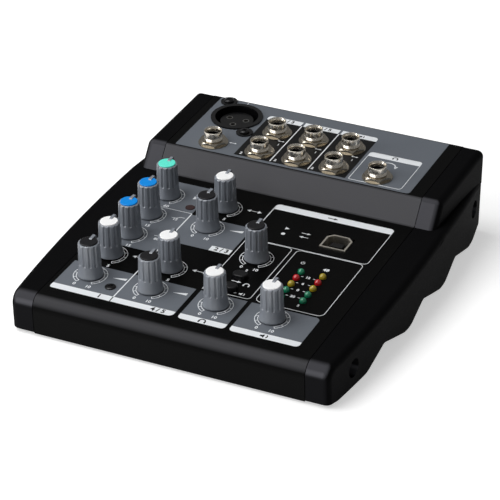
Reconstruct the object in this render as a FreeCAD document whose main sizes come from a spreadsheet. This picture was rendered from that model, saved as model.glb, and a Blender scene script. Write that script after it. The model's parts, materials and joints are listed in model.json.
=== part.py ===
"""Compact five-channel mixing console.

A folded steel chassis carries a tilted control panel, a short riser and a raised jack panel.
Two moulded cheeks with a wavy foot close its sides.  Frame: +Z up, +X to the right, +Y to the
back, origin on the ground under the middle of the console.  Lengths are millimetres.

Most pieces are drawn in the panel frame, where X and Y lie in the control panel and Z is its
normal, and are then tilted with the panel by their Placement.
"""
import FreeCAD, Part
import Sketcher
import math
import os
from FreeCAD import Placement, Rotation, Vector

PARTS_FOLDER = "parts"

# ---------------------------------------------------------------- driving dimensions
SIZES = [
    # the chassis and how it stands
    ("panel_tilt", 4.0, "slope of the control panel, degrees"),
    ("panel_front_y", -80.1, "where the panel frame starts, from the middle of the console"),
    ("panel_front_z", 18.8, "height of the panel frame's start above the ground"),
    ("half_width", 61.0, "half the width of the chassis"),
    ("sheet_wall", 1.2, "thickness of the folded sheet"),
    ("front_reach", 7.4, "front face ahead of the panel frame's start"),
    ("front_lean", 1.6, "how far the front face leans back at its foot"),
    ("front_bend", 6.0, "outer radius of the front bend"),
    ("riser_foot", 108.0, "panel depth up to the riser"),
    ("riser_run", 8.2, "depth of the riser"),
    ("jack_rise", 10.2, "height of the jack panel above the control panel"),
    ("jack_depth", 50.9, "depth of the jack panel"),
    ("riser_bend", 1.6, "outer radius of the bends of the riser"),
    ("rear_bend", 2.0, "outer radius of the rear bend"),
    ("ground_gap", 1.2, "ground to the chassis"),
    ("lip_width", 9.0, "inward lips that the base plate is screwed to"),
    ("fit_gap", 0.2, "clearance where a piece drops into another"),
    # the cheeks
    ("seam_gap", 0.3, "gap between the chassis and a cheek"),
    ("cheek_middle", 14.3, "thickness of a cheek at its widest"),
    ("cheek_radius", 800.0, "radius of the bowed outer side"),
    ("cheek_widest_y", -5.1, "where the cheek is widest"),
    ("cheek_rear_y", 86.6, "rear face of the cheeks"),
    ("cheek_block", 9.2, "thickness of the raised block beside the jack panel"),
    ("cheek_ledge", 0.9, "height of the ledge beside the block, at the riser"),
    ("cheek_ledge_rear", -3.2, "height of that ledge at the rear"),
    ("cheek_edge", 3.0, "radius of the outer top edge"),
    ("cheek_block_edge", 3.2, "radius of the block's outer edges"),
    ("cheek_rear_corner", 2.0, "radius of the block's upright rear edge"),
    ("cheek_foot_edge", 1.0, "radius of the outer foot edge"),
    ("cheek_wall", 2.6, "wall of the hollow cheek"),
    ("cheek_hollow", 5.4, "depth of the hollow from the seam side"),
    ("wave_first", -37.0, "first valley of the foot"),
    ("wave_pitch", 41.6, "from valley to valley"),
    ("wave_rise", 6.1, "height of a valley"),
    ("wave_fall", 22.0, "run from a valley down to the lobe"),
    ("wave_flat", 6.0, "flat that a lobe stands on"),
    ("wave_round", 12.0, "radius at the ends of a flat"),
    ("wave_climb", 16.1, "run from the first flat up to its valley"),
    ("valley_round", 5.0, "radius of a valley"),
    ("toe_rise", 1.4, "foot of the cheek at its front face"),
    ("toe_run", 8.0, "run of the toe"),
    ("heel_rise", 4.6, "foot of the cheek at its rear face"),
    ("side_screw_front_y", -65.7, "front cheek screw"),
    ("side_screw_front_z", 9.1, "height of the front cheek screw"),
    ("side_screw_rear_y", 74.1, "rear cheek screw"),
    ("side_screw_rear_z", 16.4, "height of the rear cheek screw"),
    ("side_recess", 4.1, "radius of the recess over a cheek screw"),
    ("side_floor", 2.4, "floor under the head of a cheek screw"),
    ("boss_radius", 6.2, "boss round a cheek screw"),
    # fasteners
    ("screw_radius", 1.5, "radius of an M3 screw"),
    ("screw_head", 2.9, "radius of its head"),
    ("screw_head_height", 2.0, "height of a pan head"),
    ("side_reach", 6.0, "length of a cheek screw under its head"),
    ("panel_screw_head", 2.4, "radius of the panel screw's head"),
    ("panel_screw_height", 0.8, "height of that head"),
    ("base_screw_inset", 4.8, "base screws from the chassis wall"),
    ("base_screw_front", 11.9, "front pair of base screws from the foot of the front face"),
    ("base_screw_rear", 7.9, "rear pair from the rear wall"),
    ("screw_slack", 0.1, "radial gap round a screw in a plain hole"),
    ("sunk_head", 1.0, "height of a countersunk head"),
    # control rows and columns
    ("row_first", 18.5, "depth of the row of level knobs"),
    ("row_pitch", 17.95, "from row to row"),
    ("track_row", 58.0, "depth of the tape level knob"),
    ("column_mono", -47.5, "column of channel 1"),
    ("column_mid", -19.6, "column of channels 2/3 and 4/5, gain side"),
    ("column_track", 10.2, "column of the tape and phones knobs"),
    ("column_main", 35.5, "column of the main knob"),
    # the knobs
    ("knob_lift", 0.6, "skirt above the panel"),
    ("knob_skirt", 5.45, "radius of the skirt"),
    ("knob_waist", 4.85, "radius at the top of the skirt"),
    ("knob_top", 4.6, "radius at the shoulder"),
    ("knob_skirt_height", 5.2, "height of the smooth skirt"),
    ("knob_height", 16.0, "height of the knob above the panel"),
    ("knob_rim", 0.5, "straight rim at the foot of the skirt"),
    ("knob_shoulder", 0.7, "radius of the shoulder"),
    ("flute_radius", 0.85, "radius of a flute"),
    ("flute_depth", 0.42, "depth of a flute"),
    ("flute_count", 12, "flutes round a knob"),
    ("pointer_width", 1.3, "width of the pointer"),
    ("pointer_start", 1.3, "pointer from the axis"),
    ("pointer_end", 5.5, "tip of the pointer"),
    ("pointer_rise", 0.8, "pointer above the knob's top"),
    ("pointer_blunt", 0.45, "cut corners of the pointer"),
    ("cap_radius", 3.75, "radius of the coloured cap"),
    ("cap_height", 0.55, "height of the cap above the knob"),
    ("cap_seat", 0.6, "depth of the seat for the cap"),
    ("cap_gap", 0.05, "gap round the cap in its seat"),
    ("cap_edge", 0.3, "radius of the cap's edge"),
    ("shaft_radius", 3.0, "radius of a pot's shaft"),
    ("shaft_bore_depth", 9.0, "how far the shaft goes into the knob"),
    ("shaft_below", 6.2, "how far the shaft reaches below the panel"),
    ("knob_travel", 150.0, "turn of a knob each way, degrees"),
    # pots and boards
    ("pot_side", 9.6, "side of a pot's body"),
    ("pot_top", 3.2, "panel's face down to the pot's body"),
    ("pot_height", 6.8, "height of a pot's body"),
    ("pot_neck", 3.6, "radius of the pot's neck"),
    ("pot_hole", 3.9, "radius of the panel's hole for a pot"),
    ("running_gap", 0.06, "radial gap round a turning shaft"),
    ("board_wall", 1.6, "thickness of a circuit board"),
    ("board_margin", 4.5, "board edge from the chassis wall"),
    ("board_front", -2.0, "front edge of the control board, on the panel"),
    ("board_rear", 104.0, "its rear edge"),
    ("jack_board_front", -4.0, "front edge of the jack board, from the jack panel's edge"),
    ("jack_board_rear", 37.0, "its rear edge"),
    ("post_radius", 2.6, "radius of the board posts"),
    ("post_x", 52.0, "posts from the middle"),
    ("post_front", 5.0, "depth of the front posts"),
    ("post_rear", 100.0, "depth of the rear posts"),
    ("jack_post_x", 51.0, "posts of the jack board"),
    ("jack_post_front", 6.0, "front one, from the jack panel's edge"),
    ("jack_post_rear", 33.0, "rear one"),
    # the lamps
    ("lamp_radius", 1.5, "radius of a lamp's dome"),
    ("lamp_flange", 1.9, "radius of its flange"),
    ("lamp_rise", 0.4, "straight part above the panel"),
    ("lamp_foot", 4.0, "panel's face down to a lamp's flange"),
    ("lamp_flange_height", 0.9, "height of the flange"),
    ("lamp_hole", 1.65, "radius of the panel's hole for a lamp"),
    ("peak_radius", 2.0, "radius of the peak lamp"),
    ("peak_rise", 0.35, "rise of the peak lamp"),
    ("meter_x", 31.8, "left column of the level meter"),
    ("meter_depth", 35.1, "front row of the meter"),
    ("meter_step", 5.05, "from lamp to lamp"),
    ("meter_gap", 9.8, "between the meter's two columns"),
    ("peak_x", -34.0, "peak lamp"),
    ("peak_depth", 84.5, "depth of the peak lamp"),
    ("panel_screw_x", -35.5, "screw in the control panel"),
    ("panel_screw_depth", 13.4, "its depth on the panel"),
    # push buttons
    ("button_width", 6.4, "push button, left to right"),
    ("button_depth", 4.8, "push button, front to rear"),
    ("button_corner", 2.3, "radius of its corners in plan"),
    ("button_rise", 2.4, "button above the panel"),
    ("button_travel", 1.5, "travel of a latching button"),
    ("button_slack", 0.3, "between a push button and its hole"),
    ("button_x", 10.4, "column of the push buttons"),
    ("button_front", 31.6, "depth of the front button"),
    ("button_rear", 41.5, "depth of the rear button"),
    ("button_skirt", 1.0, "button below the panel's face"),
    ("button_house", 7.0, "side of a button's housing"),
    ("button_house_height", 5.8, "height of the housing"),
    ("button_stem", 3.0, "side of the stem"),
    ("button_stem_reach", 6.0, "stem below the panel's face"),
    ("button_well", 5.0, "depth of the housing's well"),
    ("button_edge", 0.5, "radius of the button's edge"),
    # USB socket
    ("usb_x", 36.1, "middle of the USB socket"),
    ("usb_depth", 82.7, "its depth on the panel"),
    ("usb_width", 11.8, "outer width of the shell"),
    ("usb_length", 10.9, "outer length of the shell"),
    ("usb_wall", 0.8, "wall of the shell"),
    ("usb_rise", 0.5, "shell above the panel"),
    ("usb_corner", 2.4, "cut corners of the shell"),
    ("usb_base", 1.5, "plastic at the bottom of the shell"),
    ("usb_tongue_drop", 1.5, "tongue below the shell's edge"),
    ("usb_tongue_width", 5.6, "width of the tongue"),
    ("usb_tongue_length", 3.2, "length of the tongue"),
    # jack sockets
    ("jack_mono_x", -42.0, "line jack of channel 1"),
    ("jack_first_x", -19.4, "first column of the stereo jacks"),
    ("jack_pitch_x", 17.85, "from column to column"),
    ("jack_phones_x", 36.9, "phones jack"),
    ("jack_row_front", 8.7, "front row, from the edge of the jack panel"),
    ("jack_row_rear", 27.6, "rear row"),
    ("jack_bore", 3.2, "radius of a jack's bore, for a 6.35 mm plug"),
    ("jack_nose", 4.1, "radius of the nose"),
    ("jack_nose_rise", 6.3, "nose above the jack panel"),
    ("nose_edge", 0.4, "chamfer at the top of the nose"),
    ("jack_nose_below", 4.2, "nose below the jack panel"),
    ("jack_hole", 4.5, "radius of the hole in the jack panel"),
    ("washer_radius", 6.7, "radius of a jack's washer"),
    ("washer_height", 0.5, "thickness of the washer"),
    ("nut_flat", 5.6, "half the width across a nut's flats"),
    ("nut_height", 1.6, "height of a nut"),
    ("jack_house_x", 14.6, "width of a jack's housing"),
    ("jack_house_y", 15.4, "length of a jack's housing"),
    ("jack_house_height", 24.0, "height of a jack's housing"),
    ("jack_reach", 22.5, "depth of the cavity in the housing"),
    # microphone socket
    ("xlr_x", -42.5, "middle of the microphone socket"),
    ("xlr_depth", 34.1, "from the edge of the jack panel"),
    ("xlr_flange", 11.8, "radius of its flange"),
    ("xlr_rise", 0.8, "flange above the jack panel"),
    ("xlr_groove", 9.8, "outer radius of the groove for the plug"),
    ("xlr_core", 7.5, "radius of the core"),
    ("xlr_body", 10.9, "radius of the body below the panel"),
    ("xlr_hole", 11.1, "radius of the hole in the jack panel"),
    ("xlr_ear", 3.8, "radius of an ear round a screw"),
    ("xlr_ear_height", 0.6, "thickness of the ears"),
    ("xlr_groove_depth", 13.0, "depth of the groove"),
    ("xlr_floor", 2.2, "core's top below the flange"),
    ("pin_circle", 4.2, "radius of the circle of the contacts"),
    ("pin_hole", 1.45, "radius of a contact's sleeve"),
    ("pin_bore", 1.15, "radius of its bore"),
    ("xlr_screw_head", 2.7, "radius of the heads in the ears"),
    ("xlr_screw_height", 1.2, "height of those heads"),
    ("xlr_screw_reach", 5.0, "length of those screws"),
    ("xlr_screw_x", 9.5, "microphone socket's screws from its axis, across"),
    ("xlr_screw_y", 12.0, "and along"),
    # rear panel
    ("rear_row_z", 16.0, "height of the rear row of fittings"),
    ("rear_flange", 1.0, "flanges of the rear fittings outside the wall"),
    ("rear_flange_edge", 1.4, "how far those flanges reach over their openings"),
    ("rear_depth", 8.0, "rear fittings behind the wall's outer face"),
    ("inlet_x", 42.0, "power inlet"),
    ("inlet_radius", 5.6, "radius of the power inlet's body"),
    ("inlet_bore", 3.9, "radius of its mouth"),
    ("inlet_pin", 1.0, "radius of its pin"),
    ("rocker_x", 19.0, "power switch"),
    ("rocker_width", 8.0, "width of the rocker"),
    ("rocker_height", 12.6, "height of the rocker"),
    ("rocker_face", 0.3, "ends of the rocker's face outside the wall, when level"),
    ("rocker_dip", 0.6, "dip in the middle of its face"),
    ("rocker_foot", 2.5, "rocker below its axle"),
    ("axle_depth", 2.5, "axle below the wall's outer face"),
    ("rocker_wall", 1.2, "wall of the frame round the rocker"),
    ("rocker_inset", 0.8, "rocker's ends inside the frame's well"),
    ("rocker_axle", 1.0, "radius of the rocker's axle"),
    ("rocker_swing", 8.0, "swing of the rocker each way, degrees"),
    ("slider_x", -8.0, "phantom power switch"),
    ("slider_width", 3.4, "width of the slider's stem"),
    ("slider_height", 3.2, "height of the stem"),
    ("slider_rise", 1.0, "stem outside the rear wall"),
    ("slider_travel", 4.0, "travel of the slider"),
]

doc = FreeCAD.newDocument("mixing_console")
sheet = doc.addObject("Spreadsheet::Sheet", "Sizes")
for row, (alias, value, meaning) in enumerate(SIZES, start=1):
    sheet.set("A%d" % row, meaning)
    sheet.set("B%d" % row, str(value))
    sheet.setAlias("B%d" % row, alias)
doc.recompute()


def size(alias):
    """A driving dimension, as the sheet holds it."""
    return float(getattr(sheet, alias))


NODES = []


# ---------------------------------------------------------------- frames
def panel_frame(x=0.0, depth=0.0, height=0.0):
    """Placement of a piece that stands on the tilted control panel."""
    tilt = Rotation(Vector(1, 0, 0), size("panel_tilt"))
    origin = Vector(0, size("panel_front_y"), size("panel_front_z"))
    return Placement(origin + tilt.multVec(Vector(x, depth, height)), tilt)


def jack_edge():
    """Depth of the front edge of the jack panel."""
    return size("riser_foot") + size("riser_run")


def on_panel(depth, height):
    """Expressions for the Y and Z of a point of the panel frame's profile."""
    tilt = "Sizes.panel_tilt"
    along = "Sizes.panel_front_y + (%s) * cos(%s) - (%s) * sin(%s)" % (depth, tilt, height, tilt)
    above = "Sizes.panel_front_z + (%s) * sin(%s) + (%s) * cos(%s)" % (depth, tilt, height, tilt)
    return along, above


# ---------------------------------------------------------------- drawing helpers
def new_body(name):
    return doc.addObject("PartDesign::Body", name)


def plane_of(body, role):
    return [item for item in body.Origin.OriginFeatures if item.Role == role][0]


def new_sketch(body, name, role, lift="0", tilt="0", shift_y="0"):
    """A sketch on one of the body's planes, raised and tilted about X by expressions."""
    sketch = body.newObject("Sketcher::SketchObject", name)
    sketch.AttachmentSupport = (plane_of(body, role), [""])
    sketch.MapMode = "FlatFace"
    sketch.AttachmentOffset = Placement(Vector(0, 0, 0), Rotation(Vector(1, 0, 0), 0))
    sketch.setExpression("AttachmentOffset.Base.z", lift)
    if shift_y != "0":
        sketch.setExpression("AttachmentOffset.Base.y", shift_y)
    if tilt != "0":
        sketch.AttachmentOffset = Placement(sketch.AttachmentOffset.Base,
                                            Rotation(Vector(1, 0, 0), size("panel_tilt")))
    return sketch


def fix_point(sketch, geometry, position, x, y):
    """Bind a point of the sketch to two expressions."""
    for kind, expression in (("DistanceX", x), ("DistanceY", y)):
        value = float(sketch.evalExpression(expression))
        index = sketch.addConstraint(
            Sketcher.Constraint(kind, -1, 1, geometry, position, value))
        sketch.setExpression("Constraints[%d]" % index, expression)


def draw_polygon(sketch, corners):
    """A closed run of straight lines; each corner is a pair of expressions."""
    points = [Vector(float(sketch.evalExpression(x)), float(sketch.evalExpression(y)), 0)
              for x, y in corners]
    first = sketch.GeometryCount
    for number, point in enumerate(points):
        following = points[(number + 1) % len(points)]
        sketch.addGeometry(Part.LineSegment(point, following), False)
    for number in range(len(points)):
        after = first + (number + 1) % len(points)
        sketch.addConstraint(Sketcher.Constraint("Coincident", first + number, 2, after, 1))
    for number, (x, y) in enumerate(corners):
        fix_point(sketch, first + number, 1, x, y)


def draw_run(sketch, corners):
    """An open run of straight lines through pairs of expressions."""
    points = [Vector(float(sketch.evalExpression(x)), float(sketch.evalExpression(y)), 0)
              for x, y in corners]
    for number in range(len(points) - 1):
        line = sketch.addGeometry(Part.LineSegment(points[number], points[number + 1]), False)
        fix_point(sketch, line, 1, *corners[number])
        fix_point(sketch, line, 2, *corners[number + 1])


def draw_rectangle(sketch, x, y, width, height):
    """A rectangle about a centre, all four values as expressions."""
    left, right = "(%s) - (%s) / 2" % (x, width), "(%s) + (%s) / 2" % (x, width)
    low, high = "(%s) - (%s) / 2" % (y, height), "(%s) + (%s) / 2" % (y, height)
    draw_polygon(sketch, [(left, low), (right, low), (right, high), (left, high)])


def draw_circle(sketch, x, y, radius):
    centre = Vector(float(sketch.evalExpression(x)), float(sketch.evalExpression(y)), 0)
    value = float(sketch.evalExpression(radius))
    circle = sketch.addGeometry(Part.Circle(centre, Vector(0, 0, 1), value), False)
    fix_point(sketch, circle, 3, x, y)
    index = sketch.addConstraint(Sketcher.Constraint("Radius", circle, value))
    sketch.setExpression("Constraints[%d]" % index, radius)


def draw_bow(sketch, start, end, bulge_centre, radius):
    """An arc of a given radius between two points; returns its curve and the end it starts at."""
    def spot(pair):
        return Vector(float(sketch.evalExpression(pair[0])), float(sketch.evalExpression(pair[1])), 0)

    first, last, middle = spot(start), spot(end), spot(bulge_centre)
    angles = [math.atan2(point.y - middle.y, point.x - middle.x) for point in (first, last)]
    value = float(sketch.evalExpression(radius))
    circle = Part.Circle(middle, Vector(0, 0, 1), value)
    sweep = (angles[1] - angles[0]) % (2 * math.pi)
    forward = sweep < math.pi
    if not forward:
        angles.reverse()
    arc = sketch.addGeometry(Part.ArcOfCircle(circle, angles[0], angles[1]), False)
    fix_point(sketch, arc, 1 if forward else 2, *start)
    fix_point(sketch, arc, 2 if forward else 1, *end)
    index = sketch.addConstraint(Sketcher.Constraint("Radius", arc, value))
    sketch.setExpression("Constraints[%d]" % index, radius)


def pad(body, name, sketch, length, reverse=False, both=False):
    feature = body.newObject("PartDesign::Pad", name)
    feature.Profile = sketch
    feature.setExpression("Length", length)
    feature.Reversed = reverse
    feature.Midplane = both
    body.Tip = feature
    doc.recompute()
    return feature


def pocket(body, name, sketch, length=None, reverse=False, both=False):
    """Cut a sketch out of the body, through all of it when no length is given."""
    before = body.Shape.Volume
    feature = body.newObject("PartDesign::Pocket", name)
    feature.Profile = sketch
    feature.Reversed = reverse
    feature.Midplane = both
    if length is None:
        feature.Type = 1
    else:
        feature.setExpression("Length", length)
    body.Tip = feature
    doc.recompute()
    if not feature.Shape.Volume < before - 1e-6:
        raise RuntimeError(name + " cuts nothing")
    return feature


def fillet(body, name, base, radius, choose):
    """Round the edges of the base feature that the test chooses."""
    edges = ["Edge%d" % (number + 1) for number, edge in enumerate(base.Shape.Edges) if choose(edge)]
    if not edges:
        raise RuntimeError(name + " finds no edge")
    feature = body.newObject("PartDesign::Fillet", name)
    feature.Base = (base, edges)
    feature.setExpression("Radius", radius)
    body.Tip = feature
    doc.recompute()
    if feature.Shape.isNull():
        raise RuntimeError(name + " has no shape")
    return feature


def runs_along(edge, axis):
    """Whether a straight edge lies along the axis."""
    if not isinstance(edge.Curve, Part.Line):
        return False
    return abs(edge.Curve.Direction.dot(axis)) > 0.9999


def middle_of(edge):
    return edge.CenterOfMass


def cylinder(name, radius, height, x="0", y="0", z="0"):
    piece = doc.addObject("Part::Cylinder", name)
    piece.setExpression("Radius", radius)
    piece.setExpression("Height", height)
    for letter, value in zip("xyz", (x, y, z)):
        piece.setExpression("Placement.Base." + letter, value)
    return piece


def cone(name, foot_radius, top_radius, height, x="0", y="0", z="0"):
    piece = doc.addObject("Part::Cone", name)
    piece.setExpression("Radius1", foot_radius)
    piece.setExpression("Radius2", top_radius)
    piece.setExpression("Height", height)
    for letter, value in zip("xyz", (x, y, z)):
        piece.setExpression("Placement.Base." + letter, value)
    return piece


def box(name, width, length, height, x="0", y="0", z="0"):
    """A box whose foot's centre is at x, y, z."""
    piece = doc.addObject("Part::Box", name)
    piece.setExpression("Length", width)
    piece.setExpression("Width", length)
    piece.setExpression("Height", height)
    piece.setExpression("Placement.Base.x", "(%s) - (%s) / 2" % (x, width))
    piece.setExpression("Placement.Base.y", "(%s) - (%s) / 2" % (y, length))
    piece.setExpression("Placement.Base.z", z)
    return piece


def cut(name, base, tool):
    piece = doc.addObject("Part::Cut", name)
    piece.Base = base
    piece.Tool = tool
    return piece


def fuse(name, *shapes):
    piece = doc.addObject("Part::MultiFuse", name)
    piece.Shapes = list(shapes)
    return piece


def compound(name, pieces):
    piece = doc.addObject("Part::Compound", name)
    piece.Links = list(pieces)
    return piece


def node(piece, label):
    """Name a finished piece, so that it is written as a node."""
    piece.Label = label
    NODES.append(piece)
    return piece


def copies(label, prototype, places, frame=None):
    """A node of separate solids: the prototype at each place of the frame."""
    doc.recompute()
    solids = []
    for place in places:
        shape = prototype.Shape.copy()
        spot = place if isinstance(place, Placement) else Placement(Vector(*place), Rotation())
        shape.Placement = spot.multiply(shape.Placement)
        solids.extend(shape.Solids)
    piece = doc.addObject("Part::Feature", label)
    piece.Shape = Part.makeCompound(solids)
    piece.Placement = panel_frame() if frame is None else frame
    return node(piece, label)


def on_panel_node(piece, label):
    """A single piece of the panel frame, tilted with the panel."""
    if piece.TypeId != "PartDesign::Body":
        holder = doc.addObject("Part::Compound", label)
        holder.Links = [piece]
        piece = holder
    doc.recompute()
    piece.Placement = panel_frame()
    return node(piece, label)


# ---------------------------------------------------------------- places on the panels
ROW = ["Sizes.row_first + %d * Sizes.row_pitch" % number for number in range(5)]
KNOBS = {
    "gain": ("Sizes.column_mono", ROW[4]),
    "high": ("Sizes.column_mono", ROW[3]),
    "low": ("Sizes.column_mono", ROW[2]),
    "pan": ("Sizes.column_mono", ROW[1]),
    "level_1": ("Sizes.column_mono", ROW[0]),
    "balance_23": ("Sizes.column_mid", ROW[4]),
    "level_23": ("Sizes.column_mid", ROW[3]),
    "balance_45": ("Sizes.column_mid", ROW[1]),
    "level_45": ("Sizes.column_mid", ROW[0]),
    "tape": ("Sizes.column_track", "Sizes.track_row"),
    "phones": ("Sizes.column_track", ROW[0]),
    "main": ("Sizes.column_main", ROW[0]),
}


def value_of(expression):
    return float(sheet.evalExpression(expression))


def knob_place(name):
    x, depth = KNOBS[name]
    return value_of(x), value_of(depth)


def meter_places():
    """The lamps' grid: two columns, from the front row to the row of the two power lamps."""
    step, gap = size("meter_step"), size("meter_gap")
    return [[(size("meter_x") + column * gap, size("meter_depth") + number * step)
             for number in range(5)] for column in range(2)]


def jack_places():
    """The eight quarter-inch jacks, in the panel frame."""
    front = jack_edge() + size("jack_row_front")
    rear = jack_edge() + size("jack_row_rear")
    places = [(size("jack_mono_x"), front)]
    for column in range(3):
        x = size("jack_first_x") + column * size("jack_pitch_x")
        places += [(x, rear), (x, front)]
    return places + [(size("jack_phones_x"), front)]


METER = meter_places()
JACKS = jack_places()
BUTTONS = [(size("button_x"), size("button_front")), (size("button_x"), size("button_rear"))]
BUTTON_ARC = (size("button_width") - size("button_depth")) / 2
LAMPS_GREEN = [METER[0][4]] + [column[number] for column in METER for number in (0, 1)]
LAMPS_YELLOW = [METER[1][4]] + [column[2] for column in METER]
LAMPS_RED = [column[3] for column in METER]
PEAK = (size("peak_x"), size("peak_depth"))
PANEL_SCREW = (size("panel_screw_x"), size("panel_screw_depth"))
USB = (size("usb_x"), size("usb_depth"))
XLR = (size("xlr_x"), jack_edge() + size("xlr_depth"))
XLR_SCREWS = [(XLR[0] - size("xlr_screw_x"), XLR[1] + size("xlr_screw_y")),
              (XLR[0] + size("xlr_screw_x"), XLR[1] - size("xlr_screw_y"))]


# ---------------------------------------------------------------- top chassis
EDGE_X = Vector(1, 0, 0)
REAR_DEPTH = "(Sizes.riser_foot + Sizes.riser_run + Sizes.jack_depth)"
JACK_EDGE = "(Sizes.riser_foot + Sizes.riser_run)"
ROCKER_FRAME_WIDTH = "(Sizes.rocker_width + 2 * Sizes.rocker_wall + 2 * Sizes.fit_gap)"
ROCKER_FRAME_HEIGHT = "(Sizes.rocker_height + 2 * Sizes.rocker_wall + 2 * Sizes.fit_gap)"


def profile_corners(foot):
    """The folded sheet's outline from the front foot over the top to the rear foot."""
    front_foot = (on_panel("Sizes.front_lean - Sizes.front_reach", "0")[0], foot)
    rear_foot = (on_panel(REAR_DEPTH, "Sizes.jack_rise")[0], foot)
    return [front_foot,
            on_panel("-Sizes.front_reach", "0"),
            on_panel("Sizes.riser_foot", "0"),
            on_panel(JACK_EDGE, "Sizes.jack_rise"),
            on_panel(REAR_DEPTH, "Sizes.jack_rise"),
            rear_foot]


def near(edge, depth, height, reach=1.0):
    """Whether an edge's middle lies at a depth and height of the panel frame."""
    spot = middle_of(edge)
    y, z = (value_of(text) for text in on_panel(depth, height))
    return math.hypot(spot.y - y, spot.z - z) < reach


def panel_circles(body, name, places, radius, lift="0", shape=draw_circle):
    """A sketch of round holes on the tilted panel, raised by lift."""
    sketch = new_sketch(body, name, "XY_Plane", tilt="panel",
                        lift="Sizes.panel_front_z + (%s) * cos(Sizes.panel_tilt)" % lift,
                        shift_y="Sizes.panel_front_y - (%s) * sin(Sizes.panel_tilt)" % lift)
    for x, depth in places:
        shape(sketch, str(x), str(depth), radius)
    return sketch


def make_top_chassis():
    body = new_body("TopChassis")
    outline = new_sketch(body, "ChassisOutline", "YZ_Plane")
    draw_polygon(outline, profile_corners("Sizes.ground_gap"))
    solid = pad(body, "ChassisSolid", outline, "2 * Sizes.half_width", both=True)
    across = [("FrontBend", "Sizes.front_bend", "-Sizes.front_reach", "0"),
              ("RiserFoot", "Sizes.riser_bend", "Sizes.riser_foot", "0"),
              ("RiserTop", "Sizes.riser_bend", JACK_EDGE, "Sizes.jack_rise"),
              ("RearBend", "Sizes.rear_bend", REAR_DEPTH, "Sizes.jack_rise")]
    for name, radius, depth, height in across:
        solid = fillet(body, name, solid, radius, lambda edge: runs_along(edge, EDGE_X)
                       and near(edge, depth, height, 0.2))
    shell = body.newObject("PartDesign::Thickness", "SheetShell")
    bottom = min(range(len(solid.Shape.Faces)),
                 key=lambda number: solid.Shape.Faces[number].CenterOfMass.z)
    shell.Base = (solid, ["Face%d" % (bottom + 1)])
    shell.setExpression("Value", "Sizes.sheet_wall")
    shell.Reversed = True
    body.Tip = shell
    doc.recompute()
    add_lips(body)
    cut_panel_holes(body)
    cut_rear_holes(body)
    clear = "Sizes.screw_radius + Sizes.screw_slack"
    round_holes(body, "LipHoles", "XY_Plane", base_screw_places(), clear, "Sizes.front_bend",
                reverse=True)
    round_holes(body, "SideHoles", "YZ_Plane", cheek_screw_places(), clear,
                "3 * Sizes.half_width", both=True)
    return part_panels(body)


def part_panels(body):
    """Part the folded sheet into its tray and the plates of both panels, whose edges meet."""
    plates = [("Control", "Sizes.front_bend - Sizes.front_reach + Sizes.fit_gap",
               "Sizes.riser_foot - Sizes.riser_bend", "0"),
              ("Jack", JACK_EDGE + " + Sizes.riser_bend",
               REAR_DEPTH + " - Sizes.rear_bend - Sizes.fit_gap", "Sizes.jack_rise")]
    regions = []
    for name, front, rear, height in plates:
        region = box(name + "PlateRegion", "2 * (Sizes.half_width - Sizes.sheet_wall)",
                     "(%s) - (%s)" % (rear, front), "3 * Sizes.sheet_wall",
                     y="((%s) + (%s)) / 2" % (rear, front), z=height + " - 2 * Sizes.sheet_wall")
        tilted = compound(name + "PlateTool", [region])
        doc.recompute()
        tilted.Placement = panel_frame()
        regions.append(tilted)
        plate = doc.addObject("Part::Common", name + "Plate")
        plate.Base = body
        plate.Tool = tilted
        node(plate, name.lower() + "_panel")
    tray = cut("TrayFront", body, regions[0])
    node(cut("Tray", tray, regions[1]), "top_chassis")


def add_lips(body):
    """Inward lips at the foot of both side walls, for the base plate's screws."""
    inner = "(Sizes.half_width - Sizes.sheet_wall / 2)"
    low = "Sizes.ground_gap + Sizes.sheet_wall + Sizes.fit_gap"
    front = on_panel("Sizes.sheet_wall * 2 - Sizes.front_reach + Sizes.front_lean", "0")[0]
    rear = on_panel(REAR_DEPTH + " - Sizes.sheet_wall * 2", "Sizes.jack_rise")[0]
    for side, sign in (("Left", "-1"), ("Right", "1")):
        sketch = new_sketch(body, side + "LipSketch", "XY_Plane", lift=low)
        near_wall = "%s * %s" % (sign, inner)
        edge = "%s * (%s - Sizes.lip_width)" % (sign, inner)
        draw_polygon(sketch, [(near_wall, front), (edge, front), (edge, rear), (near_wall, rear)])
        pad(body, side + "Lip", sketch, "Sizes.sheet_wall")


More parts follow.
